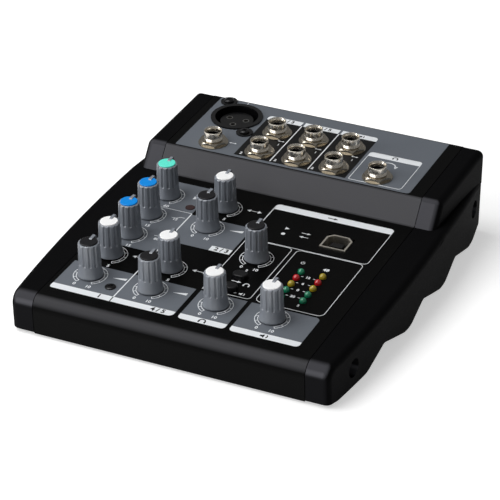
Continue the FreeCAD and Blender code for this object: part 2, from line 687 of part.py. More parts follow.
def cut_panel_holes(body):
    """Openings for every control, lamp and socket."""
    deep = "2 * Sizes.sheet_wall"
    groups = [("Pot", [knob_place(name) for name in KNOBS], "Sizes.pot_hole"),
              ("Lamp", LAMPS_GREEN + LAMPS_YELLOW + LAMPS_RED, "Sizes.lamp_hole"),
              ("Peak", [PEAK], "Sizes.peak_radius + Sizes.fit_gap / 2"),
              ("Button", [(x + side * BUTTON_ARC, y) for x, y in BUTTONS for side in (-1, 1)],
               "Sizes.button_depth / 2 + Sizes.button_slack"),
              ("PanelScrew", [PANEL_SCREW], "Sizes.screw_radius")]
    for name, places, radius in groups:
        pocket(body, name + "Holes", panel_circles(body, name + "Sketch", places, radius), deep)
    middle = panel_circles(body, "ButtonMidSketch", BUTTONS, None, shape=lambda sketch, x, y, radius:
                           draw_rectangle(sketch, x, y, "Sizes.button_width - Sizes.button_depth",
                                          "Sizes.button_depth + 2 * Sizes.button_slack"))
    pocket(body, "ButtonMidHoles", middle, deep)
    usb = panel_circles(body, "UsbSketch", [USB], None, shape=lambda sketch, x, y, radius:
                        draw_rectangle(sketch, x, y, "Sizes.usb_width + 2 * Sizes.fit_gap",
                                       "Sizes.usb_length + 2 * Sizes.fit_gap"))
    pocket(body, "UsbHole", usb, deep)
    raised = [("Jack", JACKS, "Sizes.jack_hole"), ("Xlr", [XLR], "Sizes.xlr_hole"),
              ("XlrScrew", XLR_SCREWS, "Sizes.screw_radius + Sizes.screw_slack")]
    for name, places, radius in raised:
        sketch = panel_circles(body, name + "Sketch", places, radius, lift="Sizes.jack_rise")
        pocket(body, name + "Holes", sketch, deep)


def cut_rear_holes(body):
    """Rear openings: power inlet, power switch and the slot of the phantom switch."""
    rear = on_panel(REAR_DEPTH, "Sizes.jack_rise")[0]
    sketch = new_sketch(body, "RearSketch", "XZ_Plane", lift="-(%s)" % rear)
    slack = " + 2 * Sizes.fit_gap"
    draw_circle(sketch, "Sizes.inlet_x", "Sizes.rear_row_z", "Sizes.inlet_radius + Sizes.fit_gap")
    draw_rectangle(sketch, "Sizes.rocker_x", "Sizes.rear_row_z", ROCKER_FRAME_WIDTH + slack,
                   ROCKER_FRAME_HEIGHT + slack)
    draw_rectangle(sketch, "Sizes.slider_x", "Sizes.rear_row_z",
                   "Sizes.slider_travel + Sizes.slider_width" + slack,
                   "Sizes.slider_height" + slack)
    pocket(body, "RearHoles", sketch, "4 * Sizes.sheet_wall", both=True)




def base_screw_places():
    x = size("half_width") - size("base_screw_inset")
    foot = on_panel("Sizes.front_lean - Sizes.front_reach", "0")[0]
    front = value_of(foot) + size("base_screw_front")
    rear = value_of(on_panel(REAR_DEPTH, "Sizes.jack_rise")[0]) - size("base_screw_rear")
    return [(side * x, y) for side in (-1, 1) for y in (front, (front + rear) / 2, rear)]


def round_holes(body, name, role, places, radius, length, lift="0", reverse=False, both=False):
    """Pocket a group of round holes drawn on one of the body's planes."""
    sketch = new_sketch(body, name + "Sketch", role, lift=lift)
    for x, y in places:
        draw_circle(sketch, str(x), str(y), radius)
    return pocket(body, name, sketch, length, reverse=reverse, both=both)


def cheek_screw_places():
    """The two cheek screws, as Y and Z."""
    return [(size("side_screw_front_y"), size("side_screw_front_z")),
            (size("side_screw_rear_y"), size("side_screw_rear_z"))]


def make_base_plate():
    """The bottom plate, inside the chassis walls, with countersunk holes."""
    body = new_body("BasePlate")
    inside = "Sizes.sheet_wall + 2 * Sizes.fit_gap"
    front = on_panel("Sizes.front_lean - Sizes.front_reach + " + inside, "0")[0]
    rear = on_panel(REAR_DEPTH + " - (%s)" % inside, "Sizes.jack_rise")[0]
    side = "(Sizes.half_width - Sizes.sheet_wall - Sizes.fit_gap)"
    sketch = new_sketch(body, "PlateOutline", "XY_Plane", lift="Sizes.ground_gap")
    draw_polygon(sketch, [("-" + side, front), (side, front), (side, rear), ("-" + side, rear)])
    pad(body, "Plate", sketch, "Sizes.sheet_wall")
    holes = round_holes(body, "PlateHoles", "XY_Plane", base_screw_places(),
                        "Sizes.screw_radius + Sizes.screw_slack", "4 * Sizes.sheet_wall", both=True,
                        lift="Sizes.ground_gap")
    low = value_of("Sizes.ground_gap")
    edges = ["Edge%d" % (number + 1) for number, edge in enumerate(holes.Shape.Edges)
             if isinstance(edge.Curve, Part.Circle) and abs(edge.CenterOfMass.z - low) < 1e-6]
    sink = body.newObject("PartDesign::Chamfer", "Countersinks")
    sink.Base = (holes, edges)
    sink.setExpression("Size", "Sizes.sunk_head")
    body.Tip = sink
    doc.recompute()
    return node(body, "base_plate")


def make_base_screws():
    head = cone("SunkHead", "Sizes.screw_radius + Sizes.sunk_head", "Sizes.screw_radius",
                "Sizes.sunk_head")
    shank = cylinder("SunkShank", "Sizes.screw_radius", "Sizes.sheet_wall * 3 + Sizes.fit_gap")
    screw = fuse("SunkScrew", head, shank)
    places = [(x, y, size("ground_gap")) for x, y in base_screw_places()]
    return copies("base_screws", screw, places, frame=Placement())


make_top_chassis()
make_base_plate()
make_base_screws()


# ---------------------------------------------------------------- cheeks
SEAM = "(Sizes.half_width + Sizes.seam_gap)"


def wave_corners():
    """The foot from the toe to the heel: flats that the console stands on, with valleys between."""
    front = on_panel("Sizes.front_lean - Sizes.front_reach", "0")[0]
    corners = [(front, "Sizes.toe_rise"),
               ("%s + Sizes.toe_run" % front, "0"),
               ("Sizes.wave_first - Sizes.wave_climb", "0")]
    for number in range(3):
        valley = "Sizes.wave_first + %d * Sizes.wave_pitch" % number
        corners += [(valley, "Sizes.wave_rise"),
                    (valley + " + Sizes.wave_fall", "0"),
                    (valley + " + Sizes.wave_fall + Sizes.wave_flat", "0")]
    return corners + [("Sizes.cheek_rear_y", "Sizes.heel_rise")]


def make_cheeks():
    """The right cheek: a hollow moulding with a bowed side and a raised block; the left mirrors it."""
    body = new_body("CheekBody")
    reach = value_of(SEAM)
    lower = new_sketch(body, "LowerProfile", "YZ_Plane", lift=SEAM)
    ledge_rear = "(%s)" % on_panel(REAR_DEPTH, "Sizes.cheek_ledge_rear")[1]
    draw_polygon(lower, wave_corners() + [("Sizes.cheek_rear_y", ledge_rear),
                                          on_panel("Sizes.riser_foot", "0"),
                                          on_panel("-Sizes.front_reach", "0")])
    solid = pad(body, "LowerPart", lower, "Sizes.cheek_middle")
    spots = [(value_of(y), value_of(z)) for y, z in wave_corners()]

    def on_spot(edge, chosen):
        """Whether a straight cross edge of the foot starts at one of the chosen corners."""
        centre = middle_of(edge)
        return runs_along(edge, EDGE_X) and any(
            math.hypot(centre.y - y, centre.z - z) < 0.01 for y, z in chosen)

    flats = [spot for spot in spots[1:-1] if spot[1] == 0]
    valleys = [spot for spot in spots if spot[1] == value_of("Sizes.wave_rise")]
    solid = fillet(body, "CheekBend", solid, "Sizes.front_bend", lambda edge: runs_along(edge, EDGE_X)
                   and near(edge, "-Sizes.front_reach", "0", 0.2))
    solid = fillet(body, "LobeEnds", solid, "Sizes.wave_round", lambda edge: on_spot(edge, flats))
    solid = fillet(body, "Valleys", solid, "Sizes.valley_round", lambda edge: on_spot(edge, valleys))

    bow = new_sketch(body, "OuterBow", "XY_Plane")
    centre_x = "(%s + Sizes.cheek_middle - Sizes.cheek_radius)" % SEAM
    ends = ["Sizes.panel_front_y * 1.5", "Sizes.cheek_rear_y * 1.5"]
    arc = [("%s + sqrt(Sizes.cheek_radius ^ 2 - (%s - Sizes.cheek_widest_y) ^ 2)" % (centre_x, y), y)
           for y in ends]
    draw_bow(bow, arc[0], arc[1], (centre_x, "Sizes.cheek_widest_y"), "Sizes.cheek_radius")
    outside = "Sizes.half_width * 2"
    corners = [arc[1], (outside, ends[1]), (outside, ends[0]), arc[0]]
    draw_run(bow, corners)
    solid = pocket(body, "BowedSide", bow, "Sizes.half_width", reverse=True)

    def outer(edge):
        """Whether an edge bounds the bowed side."""
        centre = middle_of(edge)
        bulge = reach + size("cheek_middle") - (centre.y - size("cheek_widest_y")) ** 2 / (
            2 * size("cheek_radius"))
        return not runs_along(edge, EDGE_X) and centre.x > bulge - 1.2

    foot_top = size("wave_rise") + 0.5
    solid = fillet(body, "OuterEdge", solid, "Sizes.cheek_edge",
                   lambda edge: outer(edge) and middle_of(edge).z > foot_top)
    solid = fillet(body, "FootEdge", solid, "Sizes.cheek_foot_edge",
                   lambda edge: outer(edge) and middle_of(edge).z < foot_top)
    add_block(body, ledge_rear)
    hollow_cheek(body)
    node(body, "right_cheek")
    left = doc.addObject("Part::Mirroring", "LeftCheek")
    left.Source = body
    left.Normal = EDGE_X
    return node(left, "left_cheek")


def add_block(body, ledge_rear):
    """The raised block beside the jack panel, thinner than the cheek below it."""
    upper = new_sketch(body, "BlockProfile", "YZ_Plane", lift=SEAM)
    top_rear = "(%s)" % on_panel(REAR_DEPTH, "Sizes.jack_rise")[1]
    sunk = "Sizes.riser_foot - Sizes.riser_run * Sizes.cheek_wall / Sizes.jack_rise"
    draw_polygon(upper, [on_panel(sunk, "-Sizes.cheek_wall"),
                         on_panel(JACK_EDGE, "Sizes.jack_rise"),
                         ("Sizes.cheek_rear_y", top_rear),
                         ("Sizes.cheek_rear_y", ledge_rear + " - Sizes.cheek_wall")])
    solid = pad(body, "Block", upper, "Sizes.cheek_block")
    side = value_of(SEAM + " + Sizes.cheek_block")
    ledge = value_of(ledge_rear)

    def block_edge(edge):
        """Whether an edge bounds the block's outer side, above the ledge."""
        ends = [vertex.Point for vertex in edge.Vertexes]
        on_side = all(abs(point.x - side) < 0.01 for point in ends)
        return on_side and len(ends) == 2 and middle_of(edge).z > ledge

    solid = fillet(body, "BlockCross", solid, "Sizes.riser_bend * 2",
                   lambda edge: runs_along(edge, EDGE_X) and near(edge, JACK_EDGE, "Sizes.jack_rise", 0.2))
    def upright(edge):
        """Whether it is the upright edge at the rear."""
        return block_edge(edge) and abs(edge.Vertexes[0].Point.y - edge.Vertexes[1].Point.y) < 0.01

    solid = fillet(body, "BlockRearEdge", solid, "Sizes.cheek_rear_corner", upright)
    fillet(body, "BlockEdge", solid, "Sizes.cheek_block_edge",
           lambda edge: block_edge(edge) and not upright(edge))


def hollow_cheek(body):
    """Hollow the cheek from the seam side, leaving bosses round its two screws."""
    wall = "Sizes.cheek_wall"
    hollow = new_sketch(body, "HollowProfile", "YZ_Plane", lift=SEAM)
    floor = "Sizes.wave_rise + " + wall
    front = on_panel(wall + " + Sizes.front_lean - Sizes.front_reach", "0")[0]
    rear = "Sizes.cheek_rear_y - " + wall
    top_rear = "(%s)" % on_panel(REAR_DEPTH + " - " + wall, "Sizes.jack_rise - " + wall)[1]
    draw_polygon(hollow, [(front, floor),
                          on_panel(wall + " - Sizes.front_reach + Sizes.front_lean", "-" + wall),
                          on_panel("Sizes.riser_foot + " + wall, "-" + wall),
                          on_panel(JACK_EDGE + " + " + wall, "Sizes.jack_rise - " + wall),
                          (rear, top_rear),
                          (rear, floor)])
    pocket(body, "Hollow", hollow, "Sizes.cheek_hollow", reverse=True)
    boss = new_sketch(body, "BossCircles", "YZ_Plane", lift=SEAM)
    for y, z in cheek_screw_places():
        draw_circle(boss, str(y), str(z), "Sizes.boss_radius")
    pad(body, "Bosses", boss, "Sizes.cheek_hollow + Sizes.fit_gap")
    round_holes(body, "Recesses", "YZ_Plane", cheek_screw_places(), "Sizes.side_recess",
                "Sizes.cheek_middle", lift=SEAM + " + Sizes.side_floor", reverse=True)
    round_holes(body, "ScrewHoles", "YZ_Plane", cheek_screw_places(),
                "Sizes.screw_radius + Sizes.screw_slack", "Sizes.cheek_middle", lift=SEAM, reverse=True)


def make_cheek_screws():
    """Pan-head screws through both cheeks, seated at the bottom of their recesses."""
    head = cylinder("PanHead", "Sizes.screw_head", "Sizes.screw_head_height")
    drive = cylinder("PanDrive", "Sizes.screw_radius", "Sizes.screw_head_height / 2",
                     z="Sizes.screw_head_height / 2")
    shank = cylinder("PanShank", "Sizes.screw_radius", "Sizes.side_reach", z="-Sizes.side_reach")
    screw = fuse("PanScrew", cut("PanHeadCut", head, drive), shank)
    reach = value_of(SEAM + " + Sizes.side_floor")
    places = []
    for side in (-1, 1):
        turn = Rotation(Vector(0, 1, 0), side * 90)
        places += [Placement(Vector(side * reach, y, z), turn) for y, z in cheek_screw_places()]
    return copies("cheek_screws", screw, places, frame=Placement())


make_cheeks()
make_cheek_screws()


# ---------------------------------------------------------------- boards and pots
BOARD_TOP = "-(Sizes.pot_top + Sizes.pot_height)"
BOARD_WIDTH = "2 * (Sizes.half_width - Sizes.sheet_wall - Sizes.board_margin)"
HOUSE_TOP = "(Sizes.jack_rise - Sizes.sheet_wall - Sizes.fit_gap)"
JACK_BOARD_TOP = "(%s - Sizes.jack_house_height)" % HOUSE_TOP


def at_depth(rule):
    """An expression's depth, measured from the jack panel's front edge."""
    return "%s + %s" % (JACK_EDGE, rule)


def make_boards():
    """The control board under the pots and the jack board under the sockets."""
    length = "(Sizes.board_rear - Sizes.board_front)"
    board = box("ControlBoard", BOARD_WIDTH, length, "Sizes.board_wall",
                y="(Sizes.board_rear + Sizes.board_front) / 2",
                z=BOARD_TOP + " - Sizes.board_wall")
    x, depth = PANEL_SCREW
    hole = cylinder("BoardHole", "Sizes.screw_radius + Sizes.screw_slack", "3 * Sizes.board_wall",
                    x=str(x), y=str(depth), z=BOARD_TOP + " - 2 * Sizes.board_wall")
    on_panel_node(cut("DrilledBoard", board, hole), "control_board")
    length = "(Sizes.jack_board_rear - Sizes.jack_board_front)"
    board = box("JackBoard", BOARD_WIDTH, length, "Sizes.board_wall",
                y=at_depth("(Sizes.jack_board_rear + Sizes.jack_board_front) / 2"),
                z=JACK_BOARD_TOP + " - Sizes.board_wall")
    on_panel_node(board, "jack_board")


def make_posts():
    """Spacers welded under both panels; the one under the panel screw is threaded through."""
    foot = BOARD_TOP
    height = "(Sizes.pot_top + Sizes.pot_height - Sizes.sheet_wall)"
    posts = [cylinder("Post%d" % number, "Sizes.post_radius", height, x=x, y=y, z=foot)
             for number, (x, y) in enumerate([("-Sizes.post_x", "Sizes.post_front"),
                                              ("Sizes.post_x", "Sizes.post_front"),
                                              ("-Sizes.post_x", "Sizes.post_rear"),
                                              ("Sizes.post_x", "Sizes.post_rear")])]
    x, depth = PANEL_SCREW
    sleeve = cylinder("Sleeve", "Sizes.post_radius", height, x=str(x), y=str(depth), z=foot)
    bore = cylinder("SleeveBore", "Sizes.screw_radius + Sizes.screw_slack", "2 * " + height,
                    x=str(x), y=str(depth), z=foot + " - " + height + " / 2")
    posts.append(cut("BoredSleeve", sleeve, bore))
    tall = "Sizes.jack_house_height + Sizes.fit_gap"
    for number, rule in enumerate(("Sizes.jack_post_front", "Sizes.jack_post_rear")):
        posts.append(cylinder("TallPost%d" % number, "Sizes.post_radius", tall,
                              x="Sizes.jack_post_x", y=at_depth(rule), z=JACK_BOARD_TOP))
    return copies("board_posts", compound("Posts", posts), [(0, 0, 0)])


def make_pots():
    """Pots on the control board; each neck passes the panel and carries a turning shaft."""
    case = box("PotCase", "Sizes.pot_side", "Sizes.pot_side", "Sizes.pot_height", z=BOARD_TOP)
    neck = cylinder("PotNeck", "Sizes.pot_neck", "Sizes.pot_top", z="-Sizes.pot_top")
    bore = cylinder("PotBore", "Sizes.shaft_radius + Sizes.running_gap",
                    "Sizes.shaft_below + 3 * Sizes.running_gap",
                    z="-Sizes.shaft_below - 2 * Sizes.running_gap")
    pot = cut("Pot", fuse("PotSolid", case, neck), bore)
    return copies("pot_bodies", pot, [knob_place(name) + (0,) for name in KNOBS])


# ---------------------------------------------------------------- microphone socket
def make_xlr():
    """A round three-contact socket with two screwed ears, a deep groove and a black core."""
    x, y = (str(value) for value in XLR)
    top = "(Sizes.jack_rise + Sizes.xlr_rise)"
    flange = cylinder("XlrFlange", "Sizes.xlr_flange", "Sizes.xlr_rise", x, y, "Sizes.jack_rise")
    barrel = cylinder("XlrBarrel", "Sizes.xlr_body", "Sizes.jack_rise - " + JACK_BOARD_TOP, x, y,
                      JACK_BOARD_TOP)
    ears = []
    holes = []
    for number, (ear_x, ear_y) in enumerate(XLR_SCREWS):
        ears.append(cylinder("XlrEar%d" % number, "Sizes.xlr_ear", "Sizes.xlr_ear_height",
                             str(ear_x), str(ear_y), "Sizes.jack_rise"))
        holes.append(cylinder("XlrEarHole%d" % number, "Sizes.screw_radius + Sizes.screw_slack",
                              "2 * Sizes.xlr_rise", str(ear_x), str(ear_y),
                              "Sizes.jack_rise - Sizes.xlr_rise / 2"))
    groove = cylinder("XlrGroove", "Sizes.xlr_groove", "Sizes.xlr_groove_depth", x, y,
                      top + " - Sizes.xlr_groove_depth")
    shell = cut("XlrShell", fuse("XlrSolid", flange, barrel, *ears),
                fuse("XlrVoids", groove, *holes))
    on_panel_node(shell, "xlr_shell")
    core_height = "(Sizes.xlr_groove_depth - Sizes.xlr_floor)"
    core = cylinder("XlrCore", "Sizes.xlr_core", core_height, x, y, top + " - Sizes.xlr_groove_depth")
    spots = contact_places()
    sleeves = [cylinder("ContactHole%d" % number, "Sizes.pin_hole", core_height + " / 2",
                        str(pin_x), str(pin_y), top + " - Sizes.xlr_floor - %s / 2" % core_height)
               for number, (pin_x, pin_y) in enumerate(spots)]
    on_panel_node(cut("XlrInsert", core, fuse("ContactHoles", *sleeves)), "xlr_insert")
    tube = cylinder("ContactTube", "Sizes.pin_hole", core_height + " / 2")
    bore = cylinder("ContactBore", "Sizes.pin_bore", core_height, z="Sizes.fit_gap")
    level = value_of(top + " - Sizes.xlr_floor - " + core_height + " / 2")
    copies("xlr_contacts", cut("Contact", tube, bore), [spot + (level,) for spot in spots])
    head = cylinder("XlrScrewHead", "Sizes.xlr_screw_head", "Sizes.xlr_screw_height")
    drive = cylinder("XlrScrewDrive", "Sizes.screw_radius * 0.6", "Sizes.xlr_screw_height / 2",
                     z="Sizes.xlr_screw_height / 2")
    shank = cylinder("XlrScrewShank", "Sizes.screw_radius", "Sizes.xlr_screw_reach",
                     z="-Sizes.xlr_screw_reach")
    screw = fuse("XlrScrew", cut("XlrHeadCut", head, drive), shank)
    level = size("jack_rise") + size("xlr_ear_height")
    return copies("xlr_screws", screw, [(a, b, level) for a, b in XLR_SCREWS])


def contact_places():
    """Three contacts on the core, the middle one towards the front."""
    return [(XLR[0] + size("pin_circle") * math.cos(math.radians(angle)),
             XLR[1] + size("pin_circle") * math.sin(math.radians(angle)))
            for angle in (15.0, -90.0, 165.0)]


# ---------------------------------------------------------------- jack sockets
def make_jacks():
    """Quarter-inch jacks: a housing on the board, a threaded nose, a washer and a hexagon nut."""
    case = box("JackCase", "Sizes.jack_house_x", "Sizes.jack_house_y", "Sizes.jack_house_height",
               z=JACK_BOARD_TOP)
    seat_top = HOUSE_TOP
    seat_depth = "(%s - Sizes.jack_rise + Sizes.jack_nose_below)" % HOUSE_TOP
    seat = cylinder("JackSeat", "Sizes.jack_nose", "2 * " + seat_depth,
                    z=seat_top + " - " + seat_depth)
    well = cylinder("JackWell", "Sizes.jack_bore + Sizes.fit_gap", "Sizes.jack_reach",
                    z=seat_top + " - Sizes.jack_reach")
    places = [place + (0,) for place in JACKS]
    copies("jack_housings", cut("JackHousing", case, fuse("JackVoid", seat, well)), places)
    foot = "Sizes.jack_rise - Sizes.jack_nose_below"
    height = "(Sizes.jack_nose_rise + Sizes.jack_nose_below)"
    nose = cylinder("NoseTube", "Sizes.jack_nose", height + " - Sizes.nose_edge", z=foot)
    rim = cone("NoseRim", "Sizes.jack_nose", "Sizes.jack_nose - Sizes.nose_edge", "Sizes.nose_edge",
               z="Sizes.jack_rise + Sizes.jack_nose_rise - Sizes.nose_edge")
    bore = cylinder("NoseBore", "Sizes.jack_bore", "2 * " + height, z=foot + " - Sizes.fit_gap")
    copies("jack_bushes", cut("JackBush", fuse("NoseSolid", nose, rim), bore), places)
    ring = cylinder("WasherDisc", "Sizes.washer_radius", "Sizes.washer_height", z="Sizes.jack_rise")
    hole = cylinder("WasherHole", "Sizes.jack_nose + Sizes.running_gap", "2 * Sizes.washer_height",
                    z="Sizes.jack_rise - Sizes.washer_height / 2")
    copies("jack_washers", cut("JackWasher", ring, hole), places)
    return copies("jack_nuts", make_nut(), places)


def make_nut():
    """A hexagon nut, its upper corners turned off to a cone."""
    blank = doc.addObject("Part::Prism", "NutBlank")
    blank.Polygon = 6
    blank.setExpression("Circumradius", "Sizes.nut_flat / cos(30)")
    blank.setExpression("Height", "Sizes.nut_height")
    blank.setExpression("Placement.Base.z", "Sizes.jack_rise + Sizes.washer_height")
    turned = cone("NutTurned", "Sizes.nut_flat / cos(30) + Sizes.nut_height",
                  "Sizes.nut_flat", "Sizes.nut_height * 2",
                  z="Sizes.jack_rise + Sizes.washer_height - Sizes.nut_height")
    domed = doc.addObject("Part::Common", "NutDomed")
    domed.Base = blank
    domed.Tool = turned
    hole = cylinder("NutHole", "Sizes.jack_nose + Sizes.running_gap", "3 * Sizes.nut_height",
                    z="Sizes.jack_rise + Sizes.washer_height - Sizes.nut_height")
    return cut("JackNut", domed, hole)


# ---------------------------------------------------------------- USB socket
def make_usb():
    """An upright square data socket: a folded shell round a cavity with a tongue."""
    shell = new_body("UsbShell")
    outline = new_sketch(shell, "ShellOutline", "XY_Plane", lift=BOARD_TOP)
    draw_polygon(outline, usb_outline("0"))
    pad(shell, "ShellBlock", outline, "Sizes.usb_rise - (%s)" % BOARD_TOP)
    mouth = new_sketch(shell, "ShellMouth", "XY_Plane", lift="Sizes.usb_rise")
    draw_polygon(mouth, usb_outline("Sizes.usb_wall"))
    pocket(shell, "ShellCavity", mouth)
    on_panel_node(shell, "usb_shell")
    core = new_body("UsbInsert")
    foot = new_sketch(core, "InsertOutline", "XY_Plane", lift=BOARD_TOP)
    draw_polygon(foot, usb_outline("Sizes.usb_wall"))
    pad(core, "InsertBase", foot, "Sizes.usb_base")
    tongue = new_sketch(core, "Tongue", "XY_Plane", lift=BOARD_TOP)
    draw_rectangle(tongue, str(USB[0]), str(USB[1]), "Sizes.usb_tongue_width",
                   "Sizes.usb_tongue_length")
    pad(core, "TonguePad", tongue, "Sizes.usb_rise - (%s) - Sizes.usb_tongue_drop" % BOARD_TOP)
    return on_panel_node(core, "usb_insert")


def usb_outline(inset):
    """The socket's outline with two cut corners at the back, moved inwards by an inset."""
    x, y = USB
    wide = "(Sizes.usb_width / 2 - %s)" % inset
    long = "(Sizes.usb_length / 2 - %s)" % inset
    corner = "(Sizes.usb_corner - %s * (2 - sqrt(2)))" % inset
    left, right = "%s - %s" % (x, wide), "%s + %s" % (x, wide)
    low, high = "%s - %s" % (y, long), "%s + %s" % (y, long)
    return [(left, low), (right, low), (right, high + " - " + corner), (right + " - " + corner, high),
            (left + " + " + corner, high), (left, high + " - " + corner)]


# ---------------------------------------------------------------- lamps
def make_lamps():
    """Domed lamps on spacers, grouped by colour."""
    flange_foot = "(-Sizes.lamp_foot - Sizes.lamp_flange_height)"
    flange = cylinder("LampFlange", "Sizes.lamp_flange", "Sizes.lamp_flange_height", z=flange_foot)
    stem = cylinder("LampStem", "Sizes.lamp_radius", "Sizes.lamp_foot + Sizes.lamp_rise",
                    z="-Sizes.lamp_foot")
    dome = doc.addObject("Part::Sphere", "LampDome")
    dome.setExpression("Radius", "Sizes.lamp_radius")
    dome.setExpression("Placement.Base.z", "Sizes.lamp_rise")
    lamp = fuse("Lamp", flange, stem, dome)
    for label, places in (("led_green", LAMPS_GREEN), ("led_yellow", LAMPS_YELLOW),
                          ("led_red", LAMPS_RED)):
        copies(label, lamp, [place + (0,) for place in places])
    stem = cylinder("PeakStem", "Sizes.peak_radius", "Sizes.lamp_foot + Sizes.peak_rise",
                    z="-Sizes.lamp_foot")
    foot = cylinder("PeakFlange", "Sizes.peak_radius + Sizes.lamp_flange - Sizes.lamp_radius",
                    "Sizes.lamp_flange_height", z=flange_foot)
    copies("led_peak", fuse("PeakLamp", stem, foot), [PEAK + (0,)])
    spacer = cylinder("LampSpacer", "Sizes.lamp_flange", "%s - (%s)" % (flange_foot, BOARD_TOP),
                      z=BOARD_TOP)
    places = LAMPS_GREEN + LAMPS_YELLOW + LAMPS_RED + [PEAK]
    return copies("lamp_spacers", spacer, [place + (0,) for place in places])


# ---------------------------------------------------------------- push buttons
def edge_round(name, base, radius, choose):
    """Round those edges of a piece that the test chooses."""
    doc.recompute()
    piece = doc.addObject("Part::Fillet", name)
    piece.Base = base
    piece.Edges = [(number + 1, size(radius), size(radius))
                   for number, edge in enumerate(base.Shape.Edges) if choose(edge)]
    return piece


def make_buttons():
    """Two oval push buttons, each with a square stem in a housing on the board."""
    case = box("ButtonCase", "Sizes.button_house", "Sizes.button_house",
               "Sizes.button_house_height", z=BOARD_TOP)
    opening = "Sizes.button_stem + 2 * Sizes.running_gap"
    well = box("ButtonWell", opening, opening, "Sizes.button_well + Sizes.fit_gap",
               z=BOARD_TOP + " + Sizes.button_house_height - Sizes.button_well")
    copies("button_housings", cut("ButtonHousing", case, well), [place + (0,) for place in BUTTONS])
    block = box("ButtonBlock", "Sizes.button_width", "Sizes.button_depth",
                "Sizes.button_skirt + Sizes.button_rise", z="-Sizes.button_skirt")
    oval = edge_round("ButtonOval", block, "button_corner", lambda edge: edge.BoundBox.ZLength > 0.1)
    rise = size("button_rise")
    rounded = edge_round("ButtonRounded", oval, "button_edge",
                         lambda edge: edge.BoundBox.ZMin > rise - 1e-4)
    stem = box("ButtonStem", "Sizes.button_stem", "Sizes.button_stem", "Sizes.button_stem_reach",
               z="-Sizes.button_stem_reach")
    button = fuse("Button", rounded, stem)
    for label, place in zip(("to_phones_button", "to_main_button"), reversed(BUTTONS)):
        copies(label, button, [place + (0,)])


def make_panel_screw():
    head = cylinder("PanelHead", "Sizes.panel_screw_head", "Sizes.panel_screw_height")
    drive = cylinder("PanelDrive", "Sizes.screw_radius * 0.6", "Sizes.panel_screw_height / 2",
                     z="Sizes.panel_screw_height / 2")
    reach = "(Sizes.pot_top + Sizes.pot_height + Sizes.board_wall)"
    shank = cylinder("PanelShank", "Sizes.screw_radius", reach, z="-" + reach)
    screw = fuse("PanelScrew", cut("PanelHeadCut", head, drive), shank)
    return copies("panel_screw", screw, [PANEL_SCREW + (0,)])


make_boards()
make_posts()
make_pots()
make_xlr()
make_jacks()
make_usb()
make_lamps()
make_buttons()
make_panel_screw()


# ---------------------------------------------------------------- rear fittings
def rear_frame(x_alias):
    """Placement at a rear fitting: local Z points out of the rear wall, local X to the right."""
    rear = value_of(on_panel(REAR_DEPTH, "Sizes.jack_rise")[0])
    return Placement(Vector(size(x_alias), rear, size("rear_row_z")),
                     Rotation(Vector(1, 0, 0), -90))


def rear_node(piece, label, x_alias):
    holder = compound(label, [piece])
    doc.recompute()
    holder.Placement = rear_frame(x_alias)
    return node(holder, label)


def make_power_inlet():
    """A round low-voltage inlet with a centre pin."""
    barrel = cylinder("InletBarrel", "Sizes.inlet_radius", "Sizes.rear_depth", z="-Sizes.rear_depth")
    flange = cylinder("InletFlange", "Sizes.inlet_radius + Sizes.rear_flange_edge",
                      "Sizes.rear_flange")
    mouth = cylinder("InletMouth", "Sizes.inlet_bore", "Sizes.rear_depth + Sizes.fit_gap",
                     z="Sizes.rear_flange - Sizes.rear_depth")
    pin = cylinder("InletPin", "Sizes.inlet_pin", "Sizes.rear_depth", z="-Sizes.rear_depth")
    shell = cut("InletShell", fuse("InletSolid", barrel, flange), mouth)
    return rear_node(fuse("Inlet", shell, pin), "power_inlet", "inlet_x")


def make_power_switch():
    """A rocker in a frame; its axle turns in the frame's side walls."""
    frame = box("RockerFrame", ROCKER_FRAME_WIDTH, ROCKER_FRAME_HEIGHT, "Sizes.rear_depth",
                z="-Sizes.rear_depth")
    edge = " + 2 * Sizes.rear_flange_edge"
    flange = box("RockerFlange", ROCKER_FRAME_WIDTH + edge, ROCKER_FRAME_HEIGHT + edge,
                 "Sizes.rear_flange")
    well = box("RockerWell", "Sizes.rocker_width + 2 * Sizes.fit_gap",
               "Sizes.rocker_height + 2 * Sizes.fit_gap", "Sizes.rear_depth + Sizes.fit_gap",
               z="Sizes.rear_flange - Sizes.rear_depth")
    bore = turned_along_x("AxleBore", "Sizes.rocker_axle + Sizes.running_gap",
                          "2 * " + ROCKER_FRAME_WIDTH, z="-Sizes.axle_depth")
    shell = cut("RockerShell", fuse("RockerSolid", frame, flange), fuse("RockerVoid", well, bore))
    rear_node(shell, "power_switch_body", "rocker_x")
    body = new_body("RockerBody")
    section = new_sketch(body, "RockerSection", "YZ_Plane")
    high = "(Sizes.rocker_height / 2 - Sizes.rocker_inset)"
    face = "Sizes.axle_depth + Sizes.rocker_face"
    draw_polygon(section, [("0", face + " - Sizes.rocker_dip"), (high, face),
                           (high, "-Sizes.rocker_foot"), ("-" + high, "-Sizes.rocker_foot"),
                           ("-" + high, face)])
    pad(body, "RockerPad", section, "Sizes.rocker_width", both=True)
    axle = turned_along_x("RockerAxle", "Sizes.rocker_axle",
                          "Sizes.rocker_width + 2 * Sizes.fit_gap + 2 * Sizes.rocker_wall")
    rocker = fuse("Rocker", body, axle)
    holder = compound("power_rocker", [rocker])
    doc.recompute()
    axle_spot = Placement(Vector(0, 0, -size("axle_depth")),
                          Rotation(Vector(1, 0, 0), size("rocker_swing")))
    holder.Placement = rear_frame("rocker_x").multiply(axle_spot)
    return node(holder, "power_rocker")


